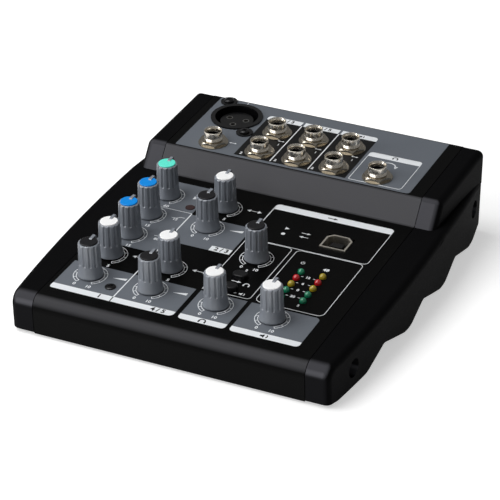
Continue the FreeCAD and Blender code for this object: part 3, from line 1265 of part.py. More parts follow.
def turned_along_x(name, radius, length, z="0"):
    """A cylinder along X about its own middle."""
    piece = doc.addObject("Part::Cylinder", name)
    piece.setExpression("Radius", radius)
    piece.setExpression("Height", length)
    piece.Placement = Placement(Vector(0, 0, 0), Rotation(Vector(0, 1, 0), 90))
    piece.setExpression("Placement.Base.x", "-(%s) / 2" % length)
    piece.setExpression("Placement.Base.z", z)
    return piece


def make_phantom_switch():
    """A slide switch behind a slot of the rear wall."""
    slot = "Sizes.slider_travel + Sizes.slider_width + 2 * Sizes.fit_gap"
    tall = "Sizes.slider_height + 2 * Sizes.fit_gap"
    depth = "(Sizes.rear_depth - Sizes.sheet_wall)"
    case = box("SliderCase", slot + " + 2 * Sizes.rocker_wall", tall + " + 2 * Sizes.rocker_wall",
               depth, z="-Sizes.rear_depth")
    well = box("SliderWell", slot, tall, depth, z="-Sizes.rear_depth + Sizes.rocker_wall")
    rear_node(cut("SliderHousing", case, well), "phantom_switch_body", "slider_x")
    reach = "Sizes.rear_depth - Sizes.rocker_wall - Sizes.fit_gap"
    stem = box("SliderStem", "Sizes.slider_width", "Sizes.slider_height",
               reach + " + Sizes.slider_rise", x="-Sizes.slider_travel / 2", z="-(%s)" % reach)
    return rear_node(stem, "phantom_slider", "slider_x")


# ---------------------------------------------------------------- knobs
KNOB_TOP = "Sizes.knob_height"
SKIRT_TOP = "(Sizes.knob_lift + Sizes.knob_skirt_height)"


def make_knob():
    """A fluted barrel on a flared skirt, with a seat for the cap and a raised pointer."""
    body = new_body("KnobBody")
    half = new_sketch(body, "KnobHalf", "XZ_Plane")
    flare = "(Sizes.knob_skirt - Sizes.knob_waist)"
    rise = "(Sizes.knob_skirt_height - Sizes.knob_rim)"
    bend = "((%s ^ 2 + %s ^ 2) / (2 * %s))" % (rise, flare, flare)
    rim_top = "Sizes.knob_lift + Sizes.knob_rim"
    shoulder = "Sizes.knob_shoulder"
    draw_run(half, [("0", "Sizes.knob_lift"), ("Sizes.knob_skirt", "Sizes.knob_lift"),
                    ("Sizes.knob_skirt", rim_top)])
    draw_bow(half, ("Sizes.knob_waist", SKIRT_TOP), ("Sizes.knob_skirt", rim_top),
             ("Sizes.knob_waist + " + bend, SKIRT_TOP), bend)
    draw_run(half, [("Sizes.knob_waist", SKIRT_TOP), ("Sizes.knob_top", KNOB_TOP + " - " + shoulder)])
    draw_bow(half, ("Sizes.knob_top", KNOB_TOP + " - " + shoulder),
             ("Sizes.knob_top - " + shoulder, KNOB_TOP),
             ("Sizes.knob_top - " + shoulder, KNOB_TOP + " - " + shoulder), shoulder)
    draw_run(half, [("Sizes.knob_top - " + shoulder, KNOB_TOP), ("0", KNOB_TOP),
                    ("0", "Sizes.knob_lift")])
    turned = body.newObject("PartDesign::Revolution", "KnobTurned")
    turned.Profile = half
    turned.ReferenceAxis = (half, ["V_Axis"])
    turned.Angle = 360
    body.Tip = turned
    doc.recompute()
    add_flutes(body)
    seat = new_sketch(body, "CapSeatCircle", "XY_Plane", lift=KNOB_TOP)
    draw_circle(seat, "0", "0", "Sizes.cap_radius + Sizes.cap_gap")
    pocket(body, "CapSeat", seat, "Sizes.cap_seat")
    bore = new_sketch(body, "ShaftBoreCircle", "XY_Plane", lift="Sizes.knob_lift")
    draw_circle(bore, "0", "0", "Sizes.shaft_radius")
    pocket(body, "ShaftBore", bore, "Sizes.shaft_bore_depth", reverse=True)
    fin = new_sketch(body, "PointerSide", "YZ_Plane")
    peak = KNOB_TOP + " + Sizes.pointer_rise"
    blunt = "Sizes.pointer_blunt"
    draw_polygon(fin, [("Sizes.pointer_start", KNOB_TOP + " - Sizes.cap_seat"),
                       ("Sizes.pointer_start", peak + " - " + blunt),
                       ("Sizes.pointer_start + " + blunt, peak),
                       ("Sizes.pointer_end - " + blunt, peak),
                       ("Sizes.pointer_end", peak + " - " + blunt),
                       ("Sizes.pointer_end", SKIRT_TOP),
                       ("Sizes.shaft_radius + Sizes.knob_shoulder", SKIRT_TOP),
                       ("Sizes.shaft_radius + Sizes.knob_shoulder", KNOB_TOP + " - Sizes.cap_seat")])
    pad(body, "Pointer", fin, "Sizes.pointer_width", both=True)
    return body


def add_flutes(body):
    """Round-bottomed flutes from above the skirt to the top, evenly round the barrel."""
    cutter = new_sketch(body, "FluteHalf", "XZ_Plane")
    axis = "(Sizes.knob_waist + Sizes.flute_radius - Sizes.flute_depth)"
    lean = "(Sizes.knob_waist - Sizes.knob_top)"
    ball = "(%s + Sizes.flute_radius)" % SKIRT_TOP
    above = KNOB_TOP + " + Sizes.pointer_rise"
    side, upper_axis = axis + " - Sizes.flute_radius", axis + " - " + lean
    draw_run(cutter, [(axis, ball + " - Sizes.flute_radius"), (upper_axis, above),
                      (upper_axis + " - Sizes.flute_radius", above), (side, ball)])
    draw_bow(cutter, (side, ball), (axis, ball + " - Sizes.flute_radius"), (axis, ball),
             "Sizes.flute_radius")
    groove = body.newObject("PartDesign::Groove", "Flute")
    groove.Profile = cutter
    groove.ReferenceAxis = (cutter, ["Edge1"])
    groove.Angle = 360
    body.Tip = groove
    doc.recompute()
    if groove.Shape.isNull():
        raise RuntimeError("the flute has no shape")
    pattern = body.newObject("PartDesign::PolarPattern", "Flutes")
    pattern.Originals = [groove]
    pattern.Axis = (plane_of(body, "Z_Axis"), [""])
    pattern.Angle = 360
    pattern.setExpression("Occurrences", "Sizes.flute_count")
    body.Tip = pattern
    doc.recompute()
    if not pattern.Shape.Volume < groove.Shape.Volume - 1e-6:
        raise RuntimeError("the flutes cut nothing")


def make_cap():
    """The coloured cap in the knob's seat, notched for the pointer."""
    disc = cylinder("CapDisc", "Sizes.cap_radius", "Sizes.cap_seat + Sizes.cap_height",
                    z=KNOB_TOP + " - Sizes.cap_seat")
    rounded = doc.addObject("Part::Fillet", "CapRounded")
    rounded.Base = disc
    doc.recompute()
    top = max(range(len(disc.Shape.Edges)), key=lambda number: disc.Shape.Edges[number].CenterOfMass.z)
    rounded.Edges = [(top + 1, size("cap_edge"), size("cap_edge"))]
    notch = box("CapNotch", "Sizes.pointer_width + 2 * Sizes.cap_gap", "2 * Sizes.cap_radius",
                "3 * Sizes.cap_seat", y="Sizes.pointer_start - Sizes.cap_gap + Sizes.cap_radius",
                z=KNOB_TOP + " - Sizes.cap_seat * 1.5")
    return cut("Cap", rounded, notch)


def make_knobs():
    """A knob with its shaft, and a cap, at each control."""
    shaft = cylinder("Shaft", "Sizes.shaft_radius",
                     "Sizes.shaft_below + Sizes.knob_lift + Sizes.shaft_bore_depth",
                     z="-Sizes.shaft_below")
    knob, cap = compound("KnobWithShaft", [make_knob(), shaft]), make_cap()
    for name in KNOBS:
        x, depth = knob_place(name)
        for prefix, piece in (("knob_", knob), ("cap_", cap)):
            holder = compound(prefix + name, [piece])
            doc.recompute()
            holder.Placement = panel_frame(x, depth)
            node(holder, prefix + name)


make_power_inlet()
make_power_switch()
make_phantom_switch()
make_knobs()


# ---------------------------------------------------------------- check and write
doc.recompute()
for item in doc.Objects:
    if "Invalid" in item.State or "Error" in item.State:
        raise RuntimeError("%s did not rebuild: %s" % (item.Name, item.State))
os.makedirs(PARTS_FOLDER, exist_ok=True)
for piece in NODES:
    if piece.Shape.isNull() or not piece.Shape.isValid():
        raise RuntimeError(piece.Label + " is not a valid shape")
    piece.Shape.exportStep(os.path.join(PARTS_FOLDER, piece.Label + ".step"))
    print("%-24s solids %3d  volume %10.2f" % (piece.Label, len(piece.Shape.Solids), piece.Shape.Volume))
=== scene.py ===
"""Mixing console: finishes, printed panels and small fittings, built round the packed frame.

Laid out as an add-on and run as a script. Lengths are in metres, and a panel's own
coordinates are millimetres: x across, and v up the slope from the panel's front.
"""
import json
import math

import bmesh
import bpy
from mathutils import Matrix, Vector
from mathutils.geometry import tessellate_polygon

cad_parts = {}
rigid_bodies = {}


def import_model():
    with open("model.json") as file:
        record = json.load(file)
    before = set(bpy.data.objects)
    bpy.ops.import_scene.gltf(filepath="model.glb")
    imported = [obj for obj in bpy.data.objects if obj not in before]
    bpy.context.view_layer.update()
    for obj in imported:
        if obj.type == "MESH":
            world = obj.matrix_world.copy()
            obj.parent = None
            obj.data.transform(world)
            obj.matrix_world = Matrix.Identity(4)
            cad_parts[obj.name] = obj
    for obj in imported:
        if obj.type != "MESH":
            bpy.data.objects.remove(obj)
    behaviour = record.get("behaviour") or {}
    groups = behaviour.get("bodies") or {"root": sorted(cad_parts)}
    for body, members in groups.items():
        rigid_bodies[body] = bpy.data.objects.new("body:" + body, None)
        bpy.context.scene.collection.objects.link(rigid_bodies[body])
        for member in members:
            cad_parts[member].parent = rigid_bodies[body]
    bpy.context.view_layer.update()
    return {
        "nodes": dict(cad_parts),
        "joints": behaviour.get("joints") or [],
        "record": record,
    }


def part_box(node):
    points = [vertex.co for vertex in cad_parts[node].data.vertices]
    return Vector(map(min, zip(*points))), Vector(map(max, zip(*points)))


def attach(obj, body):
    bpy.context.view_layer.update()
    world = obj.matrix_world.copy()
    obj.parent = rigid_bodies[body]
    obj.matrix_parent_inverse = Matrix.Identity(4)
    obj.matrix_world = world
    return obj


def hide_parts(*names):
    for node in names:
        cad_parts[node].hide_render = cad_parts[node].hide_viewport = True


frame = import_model()

bl_info = {
    "name": "Mixing Console",
    "version": (1, 0, 0),
    "blender": (4, 5, 0),
    "location": "3D View > Sidebar > Console",
    "description": "Finishes, printed panels and small fittings of a small mixing console",
    "category": "Add Mesh",
}

MM = 0.001
SLOT_NODES = {}
for part in frame["record"]["subparts"]:
    SLOT_NODES.setdefault(part["material_slot"], []).append(part["node"])
JOINTS = {joint["name"]: joint for joint in frame["joints"]}
UP = Vector(JOINTS["gain_turn"]["axis"])
TILT = math.atan2(-UP.y, UP.z)
# the foot of the control panel, and how far back and up from there the jack panel starts, in
# millimetres, as in the CAD source
PANEL_FOOT = Vector((0, -80.1, 18.8))
JACK_STEP = Vector((0, 116.2, 10.2))
PANEL = Matrix.Translation(PANEL_FOOT * MM) @ Matrix.Rotation(TILT, 4, "X")
JACK_PANEL = PANEL @ Matrix.Translation(JACK_STEP * MM)
# the way the step between the panels faces, and the way the front bend catches the light
STEP_FACING = PANEL.to_3x3() @ Vector((0, -0.66, 0.75))
BEND_FACING = Vector((0, -0.9, 0.43))
# the height of a figure in the built-in font, as a share of the font's size
FIGURE_SHARE = 0.7
# a Mix node's share, its two colours and its result, by number: its sockets for colours
# share their names with those for numbers
SHARE, FIRST, SECOND, MIXED = 0, 6, 7, 2


# ---------------------------------------------------------------- small helpers

def linear(hex_text):
    """Turns an sRGB hex colour into the linear values that Blender's sockets take."""
    values = [int(hex_text[i:i + 2], 16) / 255 for i in (0, 2, 4)]
    return [c / 12.92 if c <= 0.04045 else ((c + 0.055) / 1.055) ** 2.4 for c in values]


def length(label, millimetres, text):
    """A property for a length, given in millimetres."""
    return bpy.props.FloatProperty(
        name=label, description=text, default=millimetres * MM,
        unit="LENGTH", subtype="DISTANCE", precision=5,
    )


def colour(label, hex_text, text):
    """A property for a colour, given as sRGB hex."""
    return bpy.props.FloatVectorProperty(
        name=label, description=text, default=linear(hex_text),
        subtype="COLOR", size=3, min=0, max=1,
    )


def add_node(tree, kind, settings=None, values=None, links=None):
    """Adds a shader node, sets it up and links sockets into its inputs."""
    node = tree.nodes.new("ShaderNode" + kind)
    for key, value in (settings or {}).items():
        setattr(node, key, value)
    for key, value in (values or {}).items():
        node.inputs[key].default_value = value
    for key, socket in (links or {}).items():
        tree.links.new(socket, node.inputs[key])
    return node


def surface(name, paint, roughness, grain, relief, mottle=0.08, cloud=9.0, shine=0.5, **sockets):
    """A material with a fine relief of that grain and a slow drift in colour and gloss.

    grain, relief and cloud are in millimetres, and shine is the specular level. Returns the
    material, and what a further layer of its finish needs.
    """
    material = bpy.data.materials.new(name)
    material.use_nodes = True
    tree = material.node_tree
    tree.nodes.clear()
    place = add_node(tree, "TexCoord").outputs["Object"]
    fine = add_node(
        tree, "TexNoise", values={"Scale": 1 / (grain * MM), "Detail": 3.0, "Roughness": 0.6},
        links={"Vector": place},
    ).outputs["Fac"]
    slow = add_node(
        tree, "TexNoise", values={"Scale": 1 / (cloud * MM), "Detail": 2.0},
        links={"Vector": place},
    ).outputs["Fac"]
    dull = [c * (1 - mottle) for c in paint] + [1]
    full = [min(1, c * (1 + mottle)) for c in paint] + [1]
    tint = add_node(
        tree, "Mix", {"data_type": "RGBA"}, {FIRST: dull, SECOND: full}, {SHARE: slow},
    ).outputs[MIXED]
    gloss = add_node(
        tree, "MapRange",
        values={
            "From Min": 0.3, "From Max": 0.7,
            "To Min": roughness * 0.9, "To Max": min(1, roughness * 1.1),
        },
        links={"Value": fine},
    )
    bump = add_node(
        tree, "Bump", values={"Strength": 0.6, "Distance": relief * MM}, links={"Height": fine},
    )
    shader = add_node(
        tree, "BsdfPrincipled", values={"Specular IOR Level": shine, **sockets},
        links={"Base Color": tint, "Roughness": gloss.outputs[0], "Normal": bump.outputs[0]},
    )
    add_node(tree, "OutputMaterial", links={"Surface": shader.outputs[0]})
    return material, {
        "tree": tree, "place": place, "tint": tint, "base": shader.inputs["Base Color"],
    }


def paint_light_by_facing(tree, paint, tone, way, low, high, share=1.0):
    """Paints light into a colour: a lighter tone, a painted highlight, where its surface faces a
    way, between two cosines of the angle to it.
    """
    normal = add_node(tree, "NewGeometry").outputs["Normal"]
    facing = add_node(tree, "VectorMath", {"operation": "DOT_PRODUCT"}, {1: way}, {0: normal})
    part = add_node(
        tree, "MapRange", values={"From Min": low, "From Max": high, "To Max": share},
        links={"Value": facing.outputs["Value"]},
    )
    return add_node(
        tree, "Mix", {"data_type": "RGBA"}, {SECOND: [*tone, 1]},
        {SHARE: part.outputs[0], FIRST: paint},
    ).outputs[MIXED]


def dress(nodes, material):
    """Gives CAD nodes a finish."""
    for name in nodes:
        for holder in frame["nodes"][name].material_slots:
            holder.material = material


def coat(slot, name, paint, roughness, grain, relief, **looks):
    """Makes a finish for every CAD node of a material slot, and returns what surface says."""
    if slot not in SLOT_NODES:
        raise ValueError("the frame has no material slot " + slot)
    material, parts = surface(name, paint, roughness, grain, relief, **looks)
    dress(SLOT_NODES[slot], material)
    return parts


def finish_of(node):
    """The finish that a CAD node has."""
    return frame["nodes"][node].material_slots[0].material


def make_piece(name, mesh, material, body, smooth=False):
    """Puts a mesh in the scene as a piece that rides on a body."""
    mesh.materials.clear()
    mesh.materials.append(material)
    for face in mesh.polygons:
        face.use_smooth = smooth
    piece = bpy.data.objects.new(name, mesh)
    bpy.context.scene.collection.objects.link(piece)
    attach(piece, body)
    return piece


def panel_place(point, panel=PANEL):
    """Where a point of the frame lies on a panel, in the panel's millimetres."""
    return panel.inverted() @ Vector(point) / MM


def arc(x, v, radius, start, end, steps):
    """Points along an arc, from one angle to another in degrees."""
    turns = [math.radians(start + (end - start) * i / steps) for i in range(steps + 1)]
    return [(x + radius * math.cos(t), v + radius * math.sin(t)) for t in turns]


def circle(x, v, radius, steps):
    """Points all round a circle."""
    return arc(x, v, radius, 0, 360 - 360 / steps, steps - 1)


def rounded(x0, x1, v0, v1, corners=(0, 0, 0, 0)):
    """A rectangle with its own radius at front left, front right, rear right and rear left."""
    points = []
    middles = ((x0, v0, 1, 1, 180), (x1, v0, -1, 1, 270), (x1, v1, -1, -1, 0), (x0, v1, 1, -1, 90))
    for (x, v, side, lift, start), radius in zip(middles, corners):
        if radius:
            points += arc(x + side * radius, v + lift * radius, radius, start, start + 90, 8)
        else:
            points.append((x, v))
    return points


# generic signs about a middle: strokes, then filled outlines
SIGNS = {
    "ramp": ((), (((-1.7, -0.5), (1.7, -0.5), (1.7, 0.5)),)),
    "sides": (
        (((-1.1, 0), (1.1, 0)),),
        (((-2.0, 0), (-1.0, -0.55), (-1.0, 0.55)), ((2.0, 0), (1.0, 0.55), (1.0, -0.55))),
    ),
    "treble": ((((-1.6, -0.4), (-0.4, -0.4), (0.5, 0.4), (1.6, 0.4)),), ()),
    "bass": ((((-1.6, 0.4), (-0.5, 0.4), (0.4, -0.4), (1.6, -0.4)),), ()),
    "amplifier": ((), (((-0.8, -0.7), (0.9, 0), (-0.8, 0.7)),)),
    "headset": (
        (tuple(arc(0, -0.2, 0.85, 200, -20, 10)),),
        (
            ((-1.05, -0.9), (-0.6, -0.9), (-0.6, -0.1), (-1.05, -0.1)),
            ((0.6, -0.9), (1.05, -0.9), (1.05, -0.1), (0.6, -0.1)),
        ),
    ),
    "speaker": (
        (tuple(arc(0.1, 0, 0.95, -40, 40, 5)),),
        (((-0.9, -0.3), (-0.4, -0.3), (0.2, -0.8), (0.2, 0.8), (-0.4, 0.3), (-0.9, 0.3)),),
    ),
    "standby": ((tuple(arc(0, -0.1, 0.75, 120, 420, 12)), ((0, 0.05), (0, 0.95))), ()),
    "direct": (
        (
            ((-1.1, 0.28), (1.1, 0.28)), ((-1.1, -0.28), (-0.55, -0.28)),
            ((-0.28, -0.28), (0.28, -0.28)), ((0.55, -0.28), (1.1, -0.28)),
        ),
        (),
    ),
    "play": ((), (((-0.6, -0.6), (0.7, 0), (-0.6, 0.6)),)),
    "record": ((), (tuple(circle(0, 0, 0.6, 18)),)),
    "arrow": ((((-1.3, 0), (0.6, 0)),), (((0.4, -0.45), (1.5, 0), (0.4, 0.45)),)),
}


class Print:
    """One colour of a panel's print, gathered shape by shape in the panel's millimetres."""

    def __init__(self):
        self.mesh = bmesh.new()

    def shape(self, points, holes=()):
        """A filled outline, with outlines left open inside it."""
        loops = [points, *holes]
        corners = [self.mesh.verts.new((x, v, 0)) for loop in loops for x, v in loop]
        if not holes:
            self.mesh.faces.new(corners)
            return
        flat = [[Vector((x, v, 0)) for x, v in loop] for loop in loops]
        for triangle in tessellate_polygon(flat):
            self.mesh.faces.new([corners[i] for i in triangle])

    def line(self, points, width, closed=False):
        """A stroke of even width along points, with mitred corners."""
        count = len(points)
        sides = []
        for i, point in enumerate(points):
            here = Vector(point)
            before = Vector(points[i - 1]) if closed or i else None
            after = Vector(points[(i + 1) % count]) if closed or i < count - 1 else None
            runs = [(b - a).normalized() for a, b in ((before, here), (here, after)) if a and b]
            across = Vector((0, 0))
            for run in runs:
                across += Vector((-run.y, run.x))
            across.normalize()
            # a sharp corner's mitre is cut short
            spread = max(0.35, across.dot(Vector((-runs[0].y, runs[0].x))))
            offset = across * width / 2 / spread
            sides.append([self.mesh.verts.new((*(here + s * offset), 0)) for s in (1, -1)])
        for i in range(count if closed else count - 1):
            a, b = sides[i], sides[(i + 1) % count]
            self.mesh.faces.new((a[0], b[0], b[1], a[1]))

    def sign(self, kind, x, v, size, width, way=1):
        """One of the generic signs, centred on a place; way -1 turns it about."""
        strokes, outlines = SIGNS[kind]
        for points in strokes:
            self.line([(x + way * size * a, v + size * b) for a, b in points], width)
        for points in outlines:
            self.shape([(x + way * size * a, v + size * b) for a, b in points])

    def number(self, text, x, v, height):
        """Figures in the built-in font, centred on a place."""
        curve = bpy.data.curves.new("number", "FONT")
        curve.body, curve.size = text, height / FIGURE_SHARE
        curve.align_x, curve.align_y = "CENTER", "CENTER"
        curve.resolution_u, curve.offset = 3, 0.04 * height
        holder = bpy.data.objects.new("number", curve)
        flat = bpy.data.meshes.new_from_object(holder)
        flat.transform(Matrix.Translation((x, v, 0)))
        self.mesh.from_mesh(flat)
        bpy.data.objects.remove(holder)
        bpy.data.curves.remove(curve)
        bpy.data.meshes.remove(flat)

    def lay(self, name, place, height, material):
        """Makes the print a thin closed layer on its panel."""
        faces = bmesh.ops.extrude_face_region(self.mesh, geom=self.mesh.faces[:])["geom"]
        top = [part for part in faces if isinstance(part, bmesh.types.BMVert)]
        bmesh.ops.translate(self.mesh, verts=top, vec=(0, 0, height))
        bmesh.ops.recalc_face_normals(self.mesh, faces=self.mesh.faces[:])
        mesh = bpy.data.meshes.new(name)
        self.mesh.to_mesh(mesh)
        self.mesh.free()
        mesh.transform(place @ Matrix.Scale(MM, 4))
        make_piece(name, mesh, material, "console")


# ---------------------------------------------------------------- sizes and colours

class ConsoleColours(bpy.types.PropertyGroup):
    """Colours of the console's finishes and print, and of the light and shade painted on them."""
    panel_black: colour("Panel", "040404", "Powder coat of the chassis")
    # painted reflection: the step between the panels is black like the panel, and this grey stands
    # in for the light it reflects
    riser_reflection_grey: colour("Riser", "505053", "Painted step between the two panels")
    cheek_black: colour("Cheeks", "0D0D0E", "Moulded side cheeks")
    # painted light: the cheeks' fronts are made lighter where they face the light
    cheek_front_light: colour("Cheek fronts", "1B1B1D", "Fronts of the cheeks")
    # painted reflection on the cheeks' slopes
    cheek_slope_reflection: colour("Cheek slopes", "434347", "Slopes and bends of the cheeks")
    # painted highlight on the cheeks' front bend
    glint_grey: colour("Cheek glint", "5C5C61", "Where the cheeks' bend catches the light")
    # painted highlight on the chassis' bends, where they face the light
    bend_highlight_grey: colour("Bends", "464649", "Bends of the chassis")
    knob_grey: colour("Knobs", "838890", "Moulded knobs")
    cap_mint: colour("Gain cap", "66F2DA", "Cap of the gain knob")
    cap_blue: colour("Tone caps", "008CE6", "Caps of the tone knobs")
    cap_white: colour("White caps", "FFFFFF", "Caps of the pan, balance and output knobs")
    cap_black: colour("Black caps", "131316", "Caps of the level knobs")
    nickel: colour("Nickel", "DDD7CC", "Plated jack bushes")
    # painted shade: the nuts' and washers' nickel, made darker than the bushes'
    shaded_nickel: colour("Dull nickel", "ABA497", "Plated nuts and washers")
    zone_grey: colour("Zone ink", "666B72", "Grey areas of the control panel")
    jack_grey: colour("Jack panel ink", "63686F", "Blue-grey area of the jack panel")
    white_ink: colour("White ink", "E9ECEF", "Lines, rings, figures and bars")
    black_ink: colour("Black ink", "0B0B0C", "Areas round the stereo jacks")


class ConsolePrint(bpy.types.PropertyGroup):
    """Where the printed areas and lines of the panels lie."""
    ink: length("Ink", 0.04, "Thickness of one layer of ink")
    hairline: length("Hairline", 0.27, "Width of the dial rings' lines")
    rule: length("Rule", 0.5, "Width of the lines between channels")
    left: length("Left edge", -59.0, "Left edge of the grey areas")
    mono: length("First channel", -30.9, "Line beside the first channel")
    stereo: length("Stereo channels", -2.4, "Right edge of the stereo channels")
    phones: length("Phones", -0.2, "Left edge of the phones area")
    main: length("Main", 22.8, "Left edge of the main area")
    right: length("Right edge", 53.5, "Right edge of the main area")
    bar_front: length("Bars, front", 3.7, "Front edge of the white bars")
    bar_rear: length("Bars, rear", 7.3, "Rear edge of the white bars")
    level_rear: length("Level areas, rear", 26.3, "Rear edge of the front row's areas")
    pan_rear: length("Pan area, rear", 44.7, "Rear edge of the black pan area")
    box_left: length("Boxes, left", -0.4, "Left edge of the tape and USB boxes")
    box_front: length("Boxes, front", 27.8, "Front edge of the tape and meter boxes")
    box_rear: length("Boxes, rear", 71.2, "Rear edge of the tape and meter boxes")
    tape_right: length("Tape box, right", 20.9, "Right edge of the tape box")
    meter_left: length("Meter box, left", 23.2, "Left edge of the meter box")
    meter_right: length("Meter box, right", 53.4, "Right edge of the meter box")
    usb_right: length("USB box, right", 54.4, "Right edge of the USB box")
    zone_rear: length("Areas, rear", 102.7, "Rear edge of the printed areas")
    ring_inner: length("Ring, inner", 5.95, "Inner radius of a dial ring")
    ring_outer: length("Ring, outer", 7.2, "Outer radius of a dial ring")
    figure: length("Figures", 1.75, "Height of a dial's figures")


class ConsoleFittings(bpy.types.PropertyGroup):
    """Sizes of the small fittings."""
    thread_pitch: length("Thread pitch", 0.75, "Pitch of the thread on a jack's bush")
    thread_depth: length("Thread depth", 0.28, "Depth of the thread's groove")
    nose_rise: length("Nose rise", 6.29, "Top of a jack's bush above the jack panel")
    mouth_radius: length("Mouth radius", 3.7, "Radius of a bush's mouth at its top")
    mouth_depth: length("Mouth depth", 0.9, "Depth of the mouth's slope")
    cross_width: length("Cross width", 0.75, "Width of a screw's cross recess")
    cross_depth: length("Cross depth", 0.9, "Depth of a screw's cross recess")


class ConsoleStage(bpy.types.PropertyGroup):
    """Camera and light."""
    lens: bpy.props.FloatProperty(
        name="Lens", description="Focal length on a 36 mm sensor",
        default=178.27, unit="CAMERA",
    )
    key_power: bpy.props.FloatProperty(
        name="Key light", description="Power of the large light overhead",
        default=9.8, unit="POWER",
    )
    fill_power: bpy.props.FloatProperty(
        name="Fill light", description="Power of the light in front",
        default=6.2, unit="POWER",
    )
    side_power: bpy.props.FloatProperty(
        name="Side light", description="Power of the low light on the left",
        default=4.8, unit="POWER",
    )
    ambient: bpy.props.FloatProperty(
        name="Ambient", description="Strength of the even light all round", default=0.11,
    )


def settings():
    """The scene, which holds the console's sizes and colours."""
    return bpy.context.scene


# ---------------------------------------------------------------- finishes

class CONSOLE_OT_finish_housing(bpy.types.Operator):
    """Powder coat on the chassis and base, moulded ABS on the cheeks"""
    bl_idname = "console.finish_housing"
    bl_label = "Finish the housing"

    def execute(self, context):
        tones = settings().console_colours
        # powder coat on folded steel: satin black with a fine orange peel, and a painted highlight
        # where the sheet bends; the step between the panels is the same black coat, and gets a
        # painted grey reflection of the light, up to the bends
        parts = coat(
            "panel_paint", "powder_coated_steel", tones.panel_black,
            roughness=0.45, grain=0.7, relief=0.012, mottle=0.1, shine=0.05,
        )
        tree = parts["tree"]
        lie = add_node(
            tree, "Mapping", {"vector_type": "TEXTURE"},
            {"Location": PANEL.translation, "Rotation": (TILT, 0, 0)}, {"Vector": parts["place"]},
        )
        axes = add_node(tree, "SeparateXYZ", links={"Vector": lie.outputs[0]})
        # the painted reflection's edges: the panel's axis, the place along it and the way into the
        # painted grey
        edges = (("Y", 107.6, 1), ("Y", 118.2, -1), ("Z", 0.45, 1), ("Z", 9.75, -1))
        blur = 0.06
        mask = None
        for axis, edge, way in edges:
            step = add_node(
                tree, "MapRange",
                values={
                    "From Min": (edge - blur * way) * MM, "From Max": (edge + blur * way) * MM,
                },
                links={"Value": axes.outputs[axis]},
            ).outputs[0]
            if mask:
                step = add_node(
                    tree, "Math", {"operation": "MULTIPLY"}, links={0: mask, 1: step},
                ).outputs[0]
            mask = step
        # painted highlight on the bends, then the step's painted grey reflection over it
        bend_highlights = paint_light_by_facing(tree, parts["tint"], tones.bend_highlight_grey, STEP_FACING, 0.86, 0.99, 0.8)
        painted = add_node(
            tree, "Mix", {"data_type": "RGBA"}, {SECOND: [*tones.riser_reflection_grey, 1]},
            {SHARE: mask, FIRST: bend_highlights},
        )
        tree.links.new(painted.outputs[MIXED], parts["base"])
        # the same coat on the plain base plate, a little duller
        coat(
            "base_paint", "powder_coated_base", tones.panel_black,
            roughness=0.5, grain=0.9, relief=0.015, shine=0.08,
        )
        # moulded ABS with a fine spark-eroded texture: satin and near black, with light painted on
        # it: lighter on the fronts that face the light, a painted reflection on the slopes, and a
        # painted highlight where the front bend catches the light
        parts = coat(
            "cheek_plastic", "moulded_abs_black", tones.cheek_black,
            roughness=0.55, grain=0.8, relief=0.02, mottle=0.12, shine=0.012,
        )
        paint = parts["tint"]
        for tone, way, low, high, share in (
            (tones.cheek_front_light, (0, -1, 0), 0.8, 0.95, 1.0),
            (tones.cheek_slope_reflection, STEP_FACING, 0.78, 0.95, 1.0),
            (tones.glint_grey, BEND_FACING, 0.97, 0.998, 0.8),
        ):
            paint = paint_light_by_facing(parts["tree"], paint, tone, way, low, high, share)
        parts["tree"].links.new(paint, parts["base"])
        return {"FINISHED"}


class CONSOLE_OT_finish_controls(bpy.types.Operator):
    """Moulded knobs, caps, buttons, rocker and slider"""
    bl_idname = "console.finish_controls"
    bl_label = "Finish the controls"

    def execute(self, context):
        tones = settings().console_colours
        # dyed ABS from a blasted mould: mid grey and satin, with soft lights along the flutes
        coat(
            "knob_plastic", "moulded_abs_grey", tones.knob_grey,
            roughness=0.24, grain=0.5, relief=0.003, shine=0.9,
        )
        # moulded polystyrene caps in four colours, with a soft gloss
        for slot, paint in (
            ("cap_green", tones.cap_mint), ("cap_blue", tones.cap_blue),
            ("cap_white", tones.cap_white), ("cap_black", tones.cap_black),
        ):
            coat(
                slot, "polystyrene_" + slot, paint,
                roughness=0.3, grain=1.2, relief=0.004, mottle=0.03, shine=0.25,
            )
        # acetal buttons and switch parts, dark and slightly waxy
        coat(
            "button_plastic", "acetal_button", linear("0E0E10"),
            roughness=0.36, grain=0.6, relief=0.006, shine=0.25,
        )
        coat(
            "slider_plastic", "acetal_slider", linear("1A1A1C"),
            roughness=0.45, grain=0.6, relief=0.006,
        )
        return {"FINISHED"}


